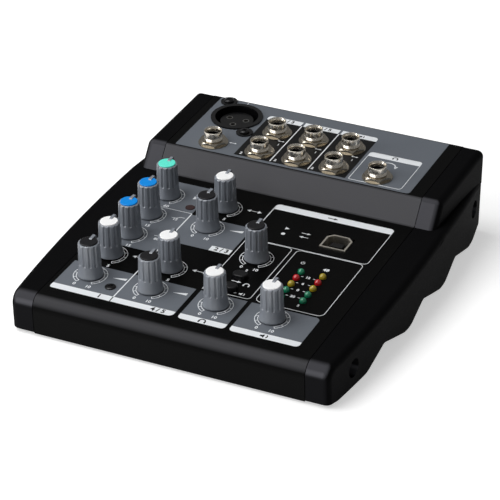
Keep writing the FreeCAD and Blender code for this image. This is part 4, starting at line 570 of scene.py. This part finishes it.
class CONSOLE_OT_finish_sockets(bpy.types.Operator):
    """Nickel, plated steel, contacts and black moulded sockets"""
    bl_idname = "console.finish_sockets"
    bl_label = "Finish the sockets"

    def execute(self, context):
        tones = settings().console_colours
        # bright nickel on turned brass: a warm, softened mirror with faint turning marks
        coat(
            "nickel", "nickel_plated_brass", tones.nickel,
            roughness=0.25, grain=0.9, relief=0.0002, mottle=0.04, Metallic=1.0,
        )
        # painted shade: the same plating as the bushes, made darker and greyer for the nuts and
        # washers
        dull = surface(
            "dull_nickel_plate", tones.shaded_nickel,
            roughness=0.22, grain=0.7, relief=0.0004, Metallic=1.0,
        )[0]
        dress(("jack_nuts", "jack_washers"), dull)
        # pressed and plated steel, and tin-plated contacts: grey, blurred mirrors
        for slot, name, tone, roughness, grain, relief in (
            ("usb_metal", "plated_steel_shell", "DDD8CC", 0.36, 0.7, 0.006),
            ("pot_metal", "pressed_steel", "B4B6B9", 0.35, 0.8, 0.01),
            ("zinc_screw", "zinc_plated_steel", "C9CBCE", 0.33, 0.5, 0.006),
            ("contact_metal", "plated_contacts", "A9A8A4", 0.3, 0.5, 0.004),
        ):
            coat(slot, name, linear(tone), roughness, grain, relief, Metallic=1.0)
        # glass-filled nylon: black, satin, a touch uneven
        coat(
            "socket_black", "moulded_nylon_black", linear("0A0A0B"),
            roughness=0.22, grain=0.6, relief=0.002, mottle=0.15, shine=0.28,
        )
        # blackened steel screws: dark, with a dim gleam
        coat(
            "black_screw", "blackened_steel", linear("151517"),
            roughness=0.22, grain=0.5, relief=0.002, Metallic=0.4,
        )
        # fibreglass board under green solder mask
        coat(
            "board", "solder_mask_board", linear("1F5A35"),
            roughness=0.35, grain=1.5, relief=0.02, mottle=0.2,
        )
        return {"FINISHED"}


class CONSOLE_OT_finish_lamps(bpy.types.Operator):
    """Tinted lamp lenses with a weak glow"""
    bl_idname = "console.finish_lamps"
    bl_label = "Finish the lamps"

    def execute(self, context):
        # tinted epoxy domes: glossy and a little uneven, with a weak glow of their own
        for slot, tone, glow in (
            ("lamp_green", "177A57", 0.04), ("lamp_yellow", "A08C1C", 0.04),
            ("lamp_red", "B01219", 0.06), ("lamp_peak", "2A0505", 0.02),
        ):
            coat(
                slot, "tinted_epoxy_" + slot, linear(tone),
                roughness=0.1, grain=0.8, relief=0.002, mottle=0.3, cloud=1.0, shine=0.8,
                **{"Emission Color": [*linear(tone), 1], "Emission Strength": glow},
            )
        return {"FINISHED"}


# ---------------------------------------------------------------- print

def ink(name, paint):
    """Screen-printed ink: flat and slightly chalky, with a faint mesh grain."""
    return surface(
        name, paint,
        roughness=0.5, grain=0.5, relief=0.004, mottle=0.04, cloud=14.0, shine=0.2,
    )[0]


def dial(white, x, v, low, high, p):
    """A dial's ring open at the front, its ten steps and the figures at its ends."""
    thin = p.hairline / MM
    inner, outer = p.ring_inner / MM, p.ring_outer / MM
    start, end, steps, fineness = 244, -59, 10, 56
    ring = arc(x, v, outer, start, end, fineness) + arc(x, v, inner, end, start, fineness)
    white.line(ring, thin, True)
    for step in range(1, steps):
        turn = math.radians(start + (end - start) * step / steps)
        out = Vector((math.cos(turn), math.sin(turn)))
        white.line([tuple(Vector((x, v)) + out * r) for r in (inner, outer)], thin)
    for text, across, down in ((low, -3.2, 8.5), (high, 3.3, 8.6)):
        white.number(text, x + across, v - down, p.figure / MM)


class CONSOLE_OT_print_control_panel(bpy.types.Operator):
    """Grey areas, white bars, dial rings, lines and figures of the control panel"""
    bl_idname = "console.print_control_panel"
    bl_label = "Print the control panel"

    def execute(self, context):
        tones, p = settings().console_colours, settings().console_print
        grey_ink = ink("screen_ink_grey", tones.zone_grey)
        white_ink = ink("screen_ink_white", tones.white_ink)
        dark_ink = ink("screen_ink_black", tones.black_ink)
        mm = {key: getattr(p, key) / MM for key in p.__annotations__}
        left, mono, stereo = mm["left"], mm["mono"], mm["stereo"]
        phones, main, right = mm["phones"], mm["main"], mm["right"]
        front, bar, level = mm["bar_front"], mm["bar_rear"], mm["level_rear"]
        thick, rule, hair = mm["ink"], mm["rule"], mm["hairline"]
        box_left, box_front, box_rear = mm["box_left"], mm["box_front"], mm["box_rear"]
        tape_right, usb_right = mm["tape_right"], mm["usb_right"]
        meter_left, meter_right = mm["meter_left"], mm["meter_right"]
        phones_end = main - 1.95
        # the second and third channels' area: its right, its front, its bar's rear, its rear
        pair_right, pair_front, pair_bar, pair_rear = stereo + 0.6, 56.0, 59.8, 79.5
        # the line behind the first channel's tone knobs, and the USB box's bar
        tone_rear, usb_bar, usb_rear = 80.2, 98.4, 102.6

        grey = Print()
        peak = panel_place([sum(pair) / 2 for pair in zip(*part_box("led_peak"))])
        lamp_hole = 2.15
        grey.shape(
            rounded(left, mono, mm["pan_rear"], mm["zone_rear"]),
            [circle(peak.x, peak.y, lamp_hole, 36)],
        )
        for area in (
            (left, stereo, bar, level), (mono, pair_right, pair_front, pair_rear),
            (phones, phones_end, bar, level),
        ):
            grey.shape(rounded(*area))
        grey.shape(rounded(main, right, bar, level, (0, 0, 2.2, 0)))
        grey.lay("control_panel_grey_print", PANEL, thick, grey_ink)

        white = Print()
        white.shape(rounded(left, mono - rule / 2, front, bar, (1.2, 0, 0, 0.5)))
        white.shape(rounded(mono + rule / 2, stereo, front, bar, (0, 2.2, 0, 0)))
        white.shape(rounded(phones, phones_end, front, bar, (1.8, 1.8, 0, 0)))
        white.shape(rounded(main, right, front, bar, (1.8, 1.8, 0, 0)))
        white.shape(rounded(-11.4, pair_right, pair_front, pair_bar))
        white.line([(mono, bar), (mono, 80.0)], rule)
        white.line([(left, tone_rear), (mono, tone_rear)], hair)
        # tape, meter and USB boxes: their edges meet in one thick line
        for area, corners in (
            ((box_left, tape_right, box_front, box_rear), (0, 1.8, 2.0, 0)),
            ((meter_left, meter_right, box_front, box_rear), (2.6, 2.6, 2.2, 2.4)),
            ((box_left, usb_right, box_rear + rule, usb_rear), (0, 2.2, 1.8, 1.8)),
        ):
            white.line(rounded(*area, corners), hair, True)
        white.line([(box_left, box_rear), (box_left, 100.0)], rule)
        white.shape(rounded(box_left, usb_right, usb_bar, usb_rear, (0, 0, 1.8, 1.8)))
        # scale between the meter's two columns of lamps, from the front lamp up
        scale_front, lamp_pitch, dash = 37.0, 5.2, 1.0
        for row, figure in enumerate(("20", "0", "6", "12")):
            v = scale_front + lamp_pitch * row
            for x in (33.0, 38.4):
                white.line([(x, v), (x + dash, v)], hair)
            white.number(figure, 36.1, v, 1.5)
        # the other areas' signs and figures: what, where across and up, and how large
        bold = 0.4
        for kind, x, v, size, width, way in (
            ("standby", 29.4, 62.6, 1.1, hair, 1), ("play", 12.0, 85.4, 1.5, hair, 1),
            ("record", 12.0, 80.8, 1.5, hair, 1), ("arrow", 21.0, 84.6, 1.5, hair, 1),
            ("arrow", 21.4, 81.6, 1.5, hair, -1), ("arrow", 10.0, 38.2, 1.6, bold, 1),
            ("headset", 15.2, 37.4, 1.4, bold, 1), ("arrow", 11.6, 30.2, 1.6, bold, 1),
            ("speaker", 16.2, 30.2, 1.2, bold, 1),
        ):
            white.sign(kind, x, v, size, width, way)
        for text, x, v, height in (
            ("1", 31.4, 31.6, 1.4), ("2", 41.0, 31.6, 1.4), ("48", 40.6, 61.0, 1.9),
            ("2", 10.4, 47.6, 1.5), ("12", -35.6, 73.2, 1.6), ("80", -35.6, 55.2, 1.6),
        ):
            white.number(text, x, v, height)
        # each kind of dial: the sign beside it and the figures at its ends
        kinds = {
            "level": ("ramp", "0", "10"), "tape": (None, "0", "10"), "phones": (None, "0", "10"),
            "main": (None, "0", "10"), "pan": ("sides", "5", "5"), "balance": ("sides", "5", "5"),
            "gain": ("amplifier", "10", "60"), "high": ("treble", "15", "15"),
            "low": ("bass", "15", "15"),
        }
        for name, joint in JOINTS.items():
            if name.endswith("_turn"):
                place = panel_place(joint["pos_m"])
                sign, low, high = kinds[name.split("_")[0]]
                dial(white, place.x, place.y, low, high, p)
                if sign:
                    white.sign(sign, place.x + 12.6, place.y + 2.5, 1.75, hair)
        white.lay("control_panel_white_print", PANEL, thick * 2, white_ink)

        dark = Print()
        for text, x, v in (("1", -36.6, 5.5), ("4 / 5", -9.6, 5.5), ("2 / 3", -6.2, 57.9)):
            dark.number(text, x, v, 2.5)
        dark.sign("headset", 10.4, 5.7, 1.6, 0.55)
        dark.sign("speaker", 37.5, 5.5, 1.6, 0.5)
        dark.sign("arrow", 26.5, 100.5, 1.7, 0.5)
        dark.lay("control_panel_black_print", PANEL, thick * 3, dark_ink)
        return {"FINISHED"}


class CONSOLE_OT_print_jack_panel(bpy.types.Operator):
    """Blue-grey area, black box and lines of the jack panel"""
    bl_idname = "console.print_jack_panel"
    bl_label = "Print the jack panel"

    def execute(self, context):
        tones, p = settings().console_colours, settings().console_print
        thick, hair, rule = p.ink / MM, p.hairline / MM, p.rule / MM
        grey_ink = ink("screen_ink_blue_grey", tones.jack_grey)
        white_ink = bpy.data.materials["screen_ink_white"]
        dark_ink = bpy.data.materials["screen_ink_black"]
        jack_hole, socket_hole = 4.6, 11.1
        stereo_left, stereo_right, bar_front, bar_rear = -29.2, 24.2, 37.8, 41.4
        phones_left, phones_right, phones_bar, phones_rear = 25.7, 50.2, 24.9, 28.7

        mounts = frame["record"]["mounts"]
        spots = [
            (panel_place(mount["pos_m"], JACK_PANEL), jack_hole)
            for mount in mounts if mount["kind"] == "bore"
        ]
        socket = next(mount for mount in mounts if mount["name"] == "microphone_socket")
        spots.append((panel_place(socket["pos_m"], JACK_PANEL), socket_hole))
        holes = [circle(spot.x, spot.y, radius, 60) for spot, radius in spots]
        boxed = [
            hole for hole, (spot, _) in zip(holes, spots) if stereo_left < spot.x < stereo_right
        ]

        grey = Print()
        grey.shape(rounded(-57.1, 54.8, 0.9, 48.8, (0.6, 2.0, 0, 0.6)), holes)
        grey.lay("jack_panel_grey_print", JACK_PANEL, thick, grey_ink)

        dark = Print()
        dark.shape(rounded(stereo_left, stereo_right, 2.6, 38.6), boxed)
        dark.lay("jack_panel_black_print", JACK_PANEL, thick * 2, dark_ink)

        white = Print()
        for x0, x1, corners in (
            (stereo_left, -12.5, (0, 0, 0, 1.8)), (-11.3, 5.7, (0, 0, 0, 0)),
            (6.9, stereo_right, (0, 0, 1.8, 0)),
        ):
            white.shape(rounded(x0, x1, bar_front, bar_rear, corners))
        for x in (-11.9, 6.3):
            white.line([(x, 3.2), (x, 38.0)], rule)
        # the front row's figures, and the rear row's signs and figures
        for x in (-26.6, -10.0, 7.8):
            white.number("2", x, 4.8, 1.7)
        for x in (-14.6, 3.4, 20.9):
            white.sign("sides", x, 21.4, 0.8, hair)
            white.number("1", x, 18.2, 1.4)
        # the first channel's microphone and line sockets
        white.number("1", -43.3, 47.6, 1.7)
        white.sign("sides", -33.6, 11.4, 0.9, hair)
        white.sign("amplifier", -33.4, 21.6, 0.9, hair)
        # headphone box, its bar and its bent arrow
        box = rounded(phones_left, phones_right, 2.7, 28.6, (0.8, 1.6, 1.6, 1.6))
        white.line(box, hair, True)
        white.shape(rounded(phones_left, phones_right, phones_bar, phones_rear, (0, 0, 1.6, 1.6)))
        white.line(arc(37.4, 18.9, 3.6, 130, 10, 9), hair * 1.5)
        white.shape([(40.1, 20.3), (41.9, 20.3), (41.0, 18.2)])
        white.lay("jack_panel_white_print", JACK_PANEL, thick * 3, white_ink)

        figures = Print()
        for text, x in (("2 / 3", -19.2), ("4 / 5", -1.0)):
            figures.number(text, x, 39.6, 2.2)
        figures.sign("speaker", 16.4, 39.6, 1.2, 0.45)
        figures.sign("headset", 38.0, 27.0, 1.25, 0.45)
        figures.lay("jack_panel_figures", JACK_PANEL, thick * 4, dark_ink)
        return {"FINISHED"}


class CONSOLE_OT_print_rear(bpy.types.Operator):
    """Signs over the inlet, the switch and the slider on the rear wall"""
    bl_idname = "console.print_rear"
    bl_label = "Print the rear wall"

    def execute(self, context):
        p = settings().console_print
        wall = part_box("top_chassis")[1][1]
        # across the wall as seen from behind, up it, and out of it
        place = Matrix(((-1, 0, 0, 0), (0, 0, 1, wall), (0, 1, 0, 0), (0, 0, 0, 1)))
        hair = p.hairline / MM
        across = {}
        for node in ("power_inlet", "power_switch_body", "phantom_switch_body"):
            low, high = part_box(node)
            across[node] = -(low[0] + high[0]) / 2 / MM
        slider = across["phantom_switch_body"]
        bold, reach = 0.45, 8.8
        white = Print()
        white.sign("direct", across["power_inlet"], 28.4, 2.2, bold)
        white.sign("standby", across["power_switch_body"], 29.2, 2.0, bold)
        white.number("48", slider, 22.6, 2.4)
        for figure, x in (("0", slider - 6.4), ("1", slider + 6.4)):
            white.number(figure, x, 16.0, 1.9)
        # a box round the inlet and the switch, and one round the slider
        for area in (
            (-52.0, -9.6, 4.4, 33.4), (slider - reach, slider + reach, 10.0, 26.6),
        ):
            white.line(rounded(*area, (1.8, 1.8, 1.8, 1.8)), hair, True)
        white_ink = bpy.data.materials["screen_ink_white"]
        white.lay("rear_white_print", place, p.ink / MM, white_ink)
        return {"FINISHED"}


# ---------------------------------------------------------------- small fittings

def islands(node):
    """The corners of each separate solid of a CAD node."""
    source = bmesh.new()
    source.from_mesh(frame["nodes"][node].data)
    bmesh.ops.remove_doubles(source, verts=source.verts[:], dist=1e-6)
    left = set(source.verts)
    found = []
    while left:
        group, edge = [], [left.pop()]
        while edge:
            vertex = edge.pop()
            group.append(vertex.co.copy())
            for link in vertex.link_edges:
                other = link.other_vert(vertex)
                if other in left:
                    left.remove(other)
                    edge.append(other)
        found.append(group)
    source.free()
    return found


def spun(name, outline, steps, closed=False):
    """A mesh made by spinning an outline of radius and height about +Z."""
    made = bmesh.new()
    chain = [made.verts.new((r, 0, z)) for r, z in outline]
    ends = chain[1:] + chain[:1] if closed else chain[1:]
    edges = [made.edges.new(pair) for pair in zip(chain, ends)]
    bmesh.ops.spin(
        made, geom=chain + edges, cent=(0, 0, 0), axis=(0, 0, 1), angle=2 * math.pi,
        steps=steps, use_merge=True,
    )
    bmesh.ops.remove_doubles(made, verts=made.verts[:], dist=1e-5)
    bmesh.ops.recalc_face_normals(made, faces=made.faces[:])
    mesh = bpy.data.meshes.new(name)
    made.to_mesh(mesh)
    made.free()
    return mesh


def screw_head(radius, height, cross, depth, sunk=False):
    """A screw's head with a cross recess, foot at the origin and top along +Z, in millimetres."""
    # the foot's depth and share of the radius, then shares of the radius and the height
    if sunk:
        foot, rim = -0.2, 0.6
        profile = ((0.96, 0.86), (1, 0.93), (0.97, 1), (0, 1))
    else:
        foot, rim = -0.3, 0.9
        profile = (
            (0.98, 0), (1, 0.12), (1, 0.38), (0.95, 0.6), (0.82, 0.8), (0.6, 0.93), (0.3, 0.99),
            (0, 1),
        )
    outline = [(0, foot), (radius * rim, foot)] + [(radius * r, height * z) for r, z in profile]
    mesh = spun("screw_head", outline, 40)
    # the driver's tip: two crossed blades that narrow and thin downwards
    tip = bmesh.new()
    reach, narrow, thin, over = radius * 0.62, 0.35, 0.7, 0.3
    for turn in (0, math.pi / 2):
        made = bmesh.ops.create_cube(tip, size=1)["verts"]
        for vertex in made:
            low = vertex.co.z < 0
            vertex.co.x *= 2 * reach * (narrow if low else 1)
            vertex.co.y *= cross * (thin if low else 1)
            vertex.co.z = height - depth if low else height + over
        bmesh.ops.rotate(tip, verts=made, matrix=Matrix.Rotation(turn, 3, "Z"))
    blade = bpy.data.meshes.new("driver_tip")
    tip.to_mesh(blade)
    tip.free()
    scene = bpy.context.scene.collection.objects
    body, cutter = (bpy.data.objects.new(m.name, m) for m in (mesh, blade))
    for thing in (body, cutter):
        scene.link(thing)
    carve = body.modifiers.new("recess", "BOOLEAN")
    carve.operation, carve.object = "DIFFERENCE", cutter
    carve.solver, carve.use_self = "EXACT", True
    bpy.context.view_layer.update()
    graph = bpy.context.evaluated_depsgraph_get()
    cut = bpy.data.meshes.new_from_object(body.evaluated_get(graph))
    for thing in (body, cutter):
        bpy.data.objects.remove(thing)
    return cut


def aim(axis):
    """A turn that takes +Z to an axis."""
    return Vector((0, 0, 1)).rotation_difference(Vector(axis)).to_matrix().to_4x4()


class CONSOLE_OT_fit_screws(bpy.types.Operator):
    """Screw heads with cross recesses in place of the plain ones"""
    bl_idname = "console.fit_screws"
    bl_label = "Fit the screws"

    def execute(self, context):
        f = settings().console_fittings
        cross, depth, shallow = f.cross_width / MM, f.cross_depth / MM, 0.6
        black, zinc = finish_of("panel_screw"), finish_of("base_screws")
        kinds = (
            # node, head's radius and height, slot, finish, what the screws go into
            ("panel_screw", 2.4, 0.8, "black_screw", black, "panel"),
            ("xlr_screws", 2.25, 1.1, "black_screw", black, "panel"),
            ("cheek_screws", 2.9, 2.0, "black_screw", black, "cheeks"),
            ("base_screws", 2.9, 1.0, "zinc_screw", zinc, "base"),
        )
        # how far below a screw's top its own corners still count as its head
        head_zone = 1.2 * MM
        for node, radius, height, slot, finish, home in kinds:
            joined = bmesh.new()
            recess = depth if height > 1 else shallow
            head = screw_head(radius, height, cross, recess, sunk=home == "base")
            for number, group in enumerate(islands(node)):
                middle = sum(group, Vector()) / len(group)
                axis = {
                    "panel": UP, "base": Vector((0, 0, -1)),
                    "cheeks": Vector((math.copysign(1, middle.x), 0, 0)),
                }[home]
                reaches = [point.dot(axis) for point in group]
                top = max(reaches)
                near = [
                    point for point, reach in zip(group, reaches) if top - reach < head_zone
                ]
                spot = sum(near, Vector()) / len(near)
                spot += axis * (top - height * MM - spot.dot(axis))
                # each screw is left at an angle of its own
                twist = Matrix.Rotation(0.5 + 1.9 * number, 4, "Z")
                placed = head.copy()
                placed.transform(
                    Matrix.Translation(spot) @ aim(axis) @ twist @ Matrix.Scale(MM, 4)
                )
                joined.from_mesh(placed)
                bpy.data.meshes.remove(placed)
            mesh = bpy.data.meshes.new(node + "_crossed")
            joined.to_mesh(mesh)
            joined.free()
            piece = make_piece(node + "_crossed", mesh, finish, "console", smooth=True)
            mesh.set_sharp_from_angle(angle=math.radians(35))
            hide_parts(node)
        return {"FINISHED"}


def turned_piece(outline, steps, places, name, material):
    """Spins an outline of radius and height, in millimetres, and puts a copy at each place."""
    one = spun(name, outline, steps, closed=True)
    joined = bmesh.new()
    for place in places:
        copy = one.copy()
        copy.transform(place @ Matrix.Scale(MM, 4))
        joined.from_mesh(copy)
        bpy.data.meshes.remove(copy)
    joined.to_mesh(one)
    joined.free()
    piece = make_piece(name, one, material, "console", smooth=True)
    one.set_sharp_from_angle(angle=math.radians(28))
    return piece


class CONSOLE_OT_turn_bushes(bpy.types.Operator):
    """Threaded jack bushes with a turned mouth, and the dark plastic inside them"""
    bl_idname = "console.turn_bushes"
    bl_label = "Turn the jack bushes"

    def execute(self, context):
        f = settings().console_fittings
        pitch, depth = f.thread_pitch / MM, f.thread_depth / MM
        mouth, slope = f.mouth_radius / MM, f.mouth_depth / MM
        places = []
        for mount in frame["record"]["mounts"]:
            if mount["kind"] == "bore":
                foot = JACK_PANEL.inverted() @ Vector(mount["pos_m"])
                lift = Matrix.Translation((0, 0, f.nose_rise - foot.z))
                places.append(Matrix.Translation(mount["pos_m"]) @ aim(UP) @ lift)
        # a bush hangs down from its top, at height 0: its radii, its rounded rim, its foot and
        # the part with the thread, whose grooves have a narrow flat bottom
        nose, bore, edge, reach = 4.1, 3.2, 0.35, 10.4
        thread_foot, thread_top = -5.6, -1.9
        root = nose - depth
        outline = [(bore, -reach), (nose, -reach)]
        z = thread_foot
        while z + pitch < thread_top:
            outline += [(nose, z), (root, z + pitch * 0.45), (root, z + pitch * 0.55)]
            z += pitch
        outline += [
            (nose, z), (nose, -edge), (nose - edge * 0.3, -edge * 0.3), (nose - edge, 0),
            (mouth, 0), (bore + 0.05, -slope), (bore, -slope - 0.15),
        ]
        bushes = turned_piece(
            outline, 64, places, "jack_bushes_turned", finish_of("jack_bushes"),
        )
        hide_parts("jack_bushes")
        # a dark plastic liner just inside each bush
        inner, outer, liner_top = bore - 0.35, bore - 0.02, -2.3
        tube = [(inner, -reach), (outer, -reach), (outer, liner_top), (inner, liner_top)]
        dark = finish_of("jack_housings")
        turned_piece(tube, 48, places, "jack_liners", dark)
        return {"FINISHED"}


# ---------------------------------------------------------------- stage

def seen_share(tree, mirrored):
    """1 where the eye looks at a thing or through glass at it, and that share in a mirror."""
    path = add_node(tree, "LightPath")
    seen = add_node(
        tree, "Math", {"operation": "MULTIPLY"}, {1: mirrored}, {0: path.outputs["Is Glossy Ray"]},
    )
    for ray in ("Is Camera Ray", "Is Transmission Ray"):
        seen = add_node(
            tree, "Math", {"operation": "MAXIMUM"},
            links={0: seen.outputs[0], 1: path.outputs[ray]},
        )
    return seen.outputs[0]


class CONSOLE_OT_build_stage(bpy.types.Operator):
    """Pale floor, soft light and the camera"""
    bl_idname = "console.build_stage"
    bl_label = "Build the stage"

    def execute(self, context):
        scene, s = settings(), settings().console_stage
        scene.view_settings.view_transform = "Standard"
        camera = bpy.data.objects.new("camera", bpy.data.cameras.new("camera"))
        scene.collection.objects.link(camera)
        camera.data.lens, camera.data.sensor_width = s.lens, 36.0
        camera.data.clip_start, camera.data.clip_end = 0.05, 20.0
        # the line of sight, as bearing, height and roll in the control panel's own frame, and
        # where the camera stands
        bearing, height, roll = (math.radians(a) for a in (25.58128, 31.33761, -1.00170))
        stand = (0.3893, -0.8564, 0.5082)
        side = Vector((math.cos(bearing), math.sin(bearing), 0))
        back = Vector((
            math.sin(bearing) * math.cos(height), -math.cos(bearing) * math.cos(height),
            math.sin(height),
        ))
        rise = back.cross(side)
        turned = (
            math.cos(roll) * side + math.sin(roll) * rise,
            math.cos(roll) * rise - math.sin(roll) * side,
            back,
        )
        look = Matrix(turned).transposed().to_4x4()
        camera.matrix_world = Matrix.Translation(stand) @ Matrix.Rotation(TILT, 4, "X") @ look
        scene.camera = camera

        # matt paper, a hair below the console's feet
        reach, drop = 6, 0.00005
        corners = [(x * reach, y * reach, 0) for x, y in ((-1, -1), (1, -1), (1, 1), (-1, 1))]
        mesh = bpy.data.meshes.new("floor")
        mesh.from_pydata(corners, [], [(0, 1, 2, 3)])
        floor = bpy.data.objects.new("floor", mesh)
        floor.location.z = -drop
        scene.collection.objects.link(floor)
        paper = bpy.data.materials.new("matt_paper_floor")
        paper.use_nodes = True
        tree = paper.node_tree
        tree.nodes.clear()
        matt = add_node(tree, "BsdfDiffuse", values={"Color": [*linear("E6E6E6"), 1]})
        # the paper turns fully white away from the console, so that it meets the air unseen
        place = add_node(tree, "TexCoord").outputs["Object"]
        away = add_node(tree, "VectorMath", {"operation": "LENGTH"}, links={0: place})
        white = add_node(
            tree, "MapRange",
            values={"From Min": 0.4, "From Max": 1.3, "To Min": 0.5, "To Max": 1.0},
            links={"Value": away.outputs["Value"]},
        )
        lift = add_node(
            tree, "Math", {"operation": "MULTIPLY"},
            links={0: seen_share(tree, 1.0), 1: white.outputs[0]},
        )
        glow = add_node(tree, "Emission", links={"Strength": lift.outputs[0]})
        both = add_node(tree, "AddShader", links={0: matt.outputs[0], 1: glow.outputs[0]})
        add_node(tree, "OutputMaterial", links={"Surface": both.outputs[0]})
        mesh.materials.append(paper)

        # white air to the eye, dim in mirrors, and an even weak light on everything
        world = bpy.data.worlds.new("studio")
        scene.world = world
        world.use_nodes = True
        tree = world.node_tree
        tree.nodes.clear()
        strength = add_node(
            tree, "MapRange", values={"To Min": s.ambient, "To Max": 1.0},
            links={"Value": seen_share(tree, 0.15)},
        )
        air = add_node(
            tree, "Background", values={"Color": (1, 1, 1, 1)},
            links={"Strength": strength.outputs[0]},
        )
        add_node(tree, "OutputWorld", links={"Surface": air.outputs[0]})

        # square soft lamps, all aimed at the middle of the console
        middle = Vector((0, 0, 0.02))
        for name, place, size, power in (
            ("key", (-0.45, -0.15, 1.2), 0.8, s.key_power),
            ("fill", (-0.55, -0.95, 0.95), 0.8, s.fill_power),
            ("side", (-1.1, -0.55, 0.45), 0.5, s.side_power),
        ):
            data = bpy.data.lights.new(name, "AREA")
            data.shape, data.size, data.energy = "SQUARE", size, power
            lamp = bpy.data.objects.new(name, data)
            scene.collection.objects.link(lamp)
            lamp.location = place
            lamp.rotation_euler = (middle - Vector(place)).to_track_quat("-Z", "Y").to_euler()
        return {"FINISHED"}


# ---------------------------------------------------------------- panel and registration

GROUPS = (
    ("console_colours", ConsoleColours), ("console_print", ConsolePrint),
    ("console_fittings", ConsoleFittings), ("console_stage", ConsoleStage),
)
OPERATORS = (
    CONSOLE_OT_finish_housing, CONSOLE_OT_finish_controls, CONSOLE_OT_finish_sockets,
    CONSOLE_OT_finish_lamps, CONSOLE_OT_print_control_panel, CONSOLE_OT_print_jack_panel,
    CONSOLE_OT_print_rear, CONSOLE_OT_fit_screws, CONSOLE_OT_turn_bushes,
    CONSOLE_OT_build_stage,
)


class CONSOLE_PT_main(bpy.types.Panel):
    """Lists the steps and the sizes they use"""
    bl_idname = "CONSOLE_PT_main"
    bl_label = "Mixing Console"
    bl_space_type = "VIEW_3D"
    bl_region_type = "UI"
    bl_category = "Console"

    def draw(self, context):
        for operator in OPERATORS:
            self.layout.operator(operator.bl_idname)
        for key, group in GROUPS:
            box = self.layout.box()
            box.label(text=group.__doc__)
            for name in group.__annotations__:
                box.prop(getattr(context.scene, key), name)


def register():
    for key, group in GROUPS:
        bpy.utils.register_class(group)
        setattr(bpy.types.Scene, key, bpy.props.PointerProperty(type=group))
    for cls in (*OPERATORS, CONSOLE_PT_main):
        bpy.utils.register_class(cls)


def unregister():
    for cls in (CONSOLE_PT_main, *reversed(OPERATORS)):
        bpy.utils.unregister_class(cls)
    for key, group in reversed(GROUPS):
        delattr(bpy.types.Scene, key)
        bpy.utils.unregister_class(group)


def main():
    register()
    for operator in OPERATORS:
        group, name = operator.bl_idname.split(".")
        getattr(getattr(bpy.ops, group), name)()
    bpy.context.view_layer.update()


if __name__ == "__main__":
    main()
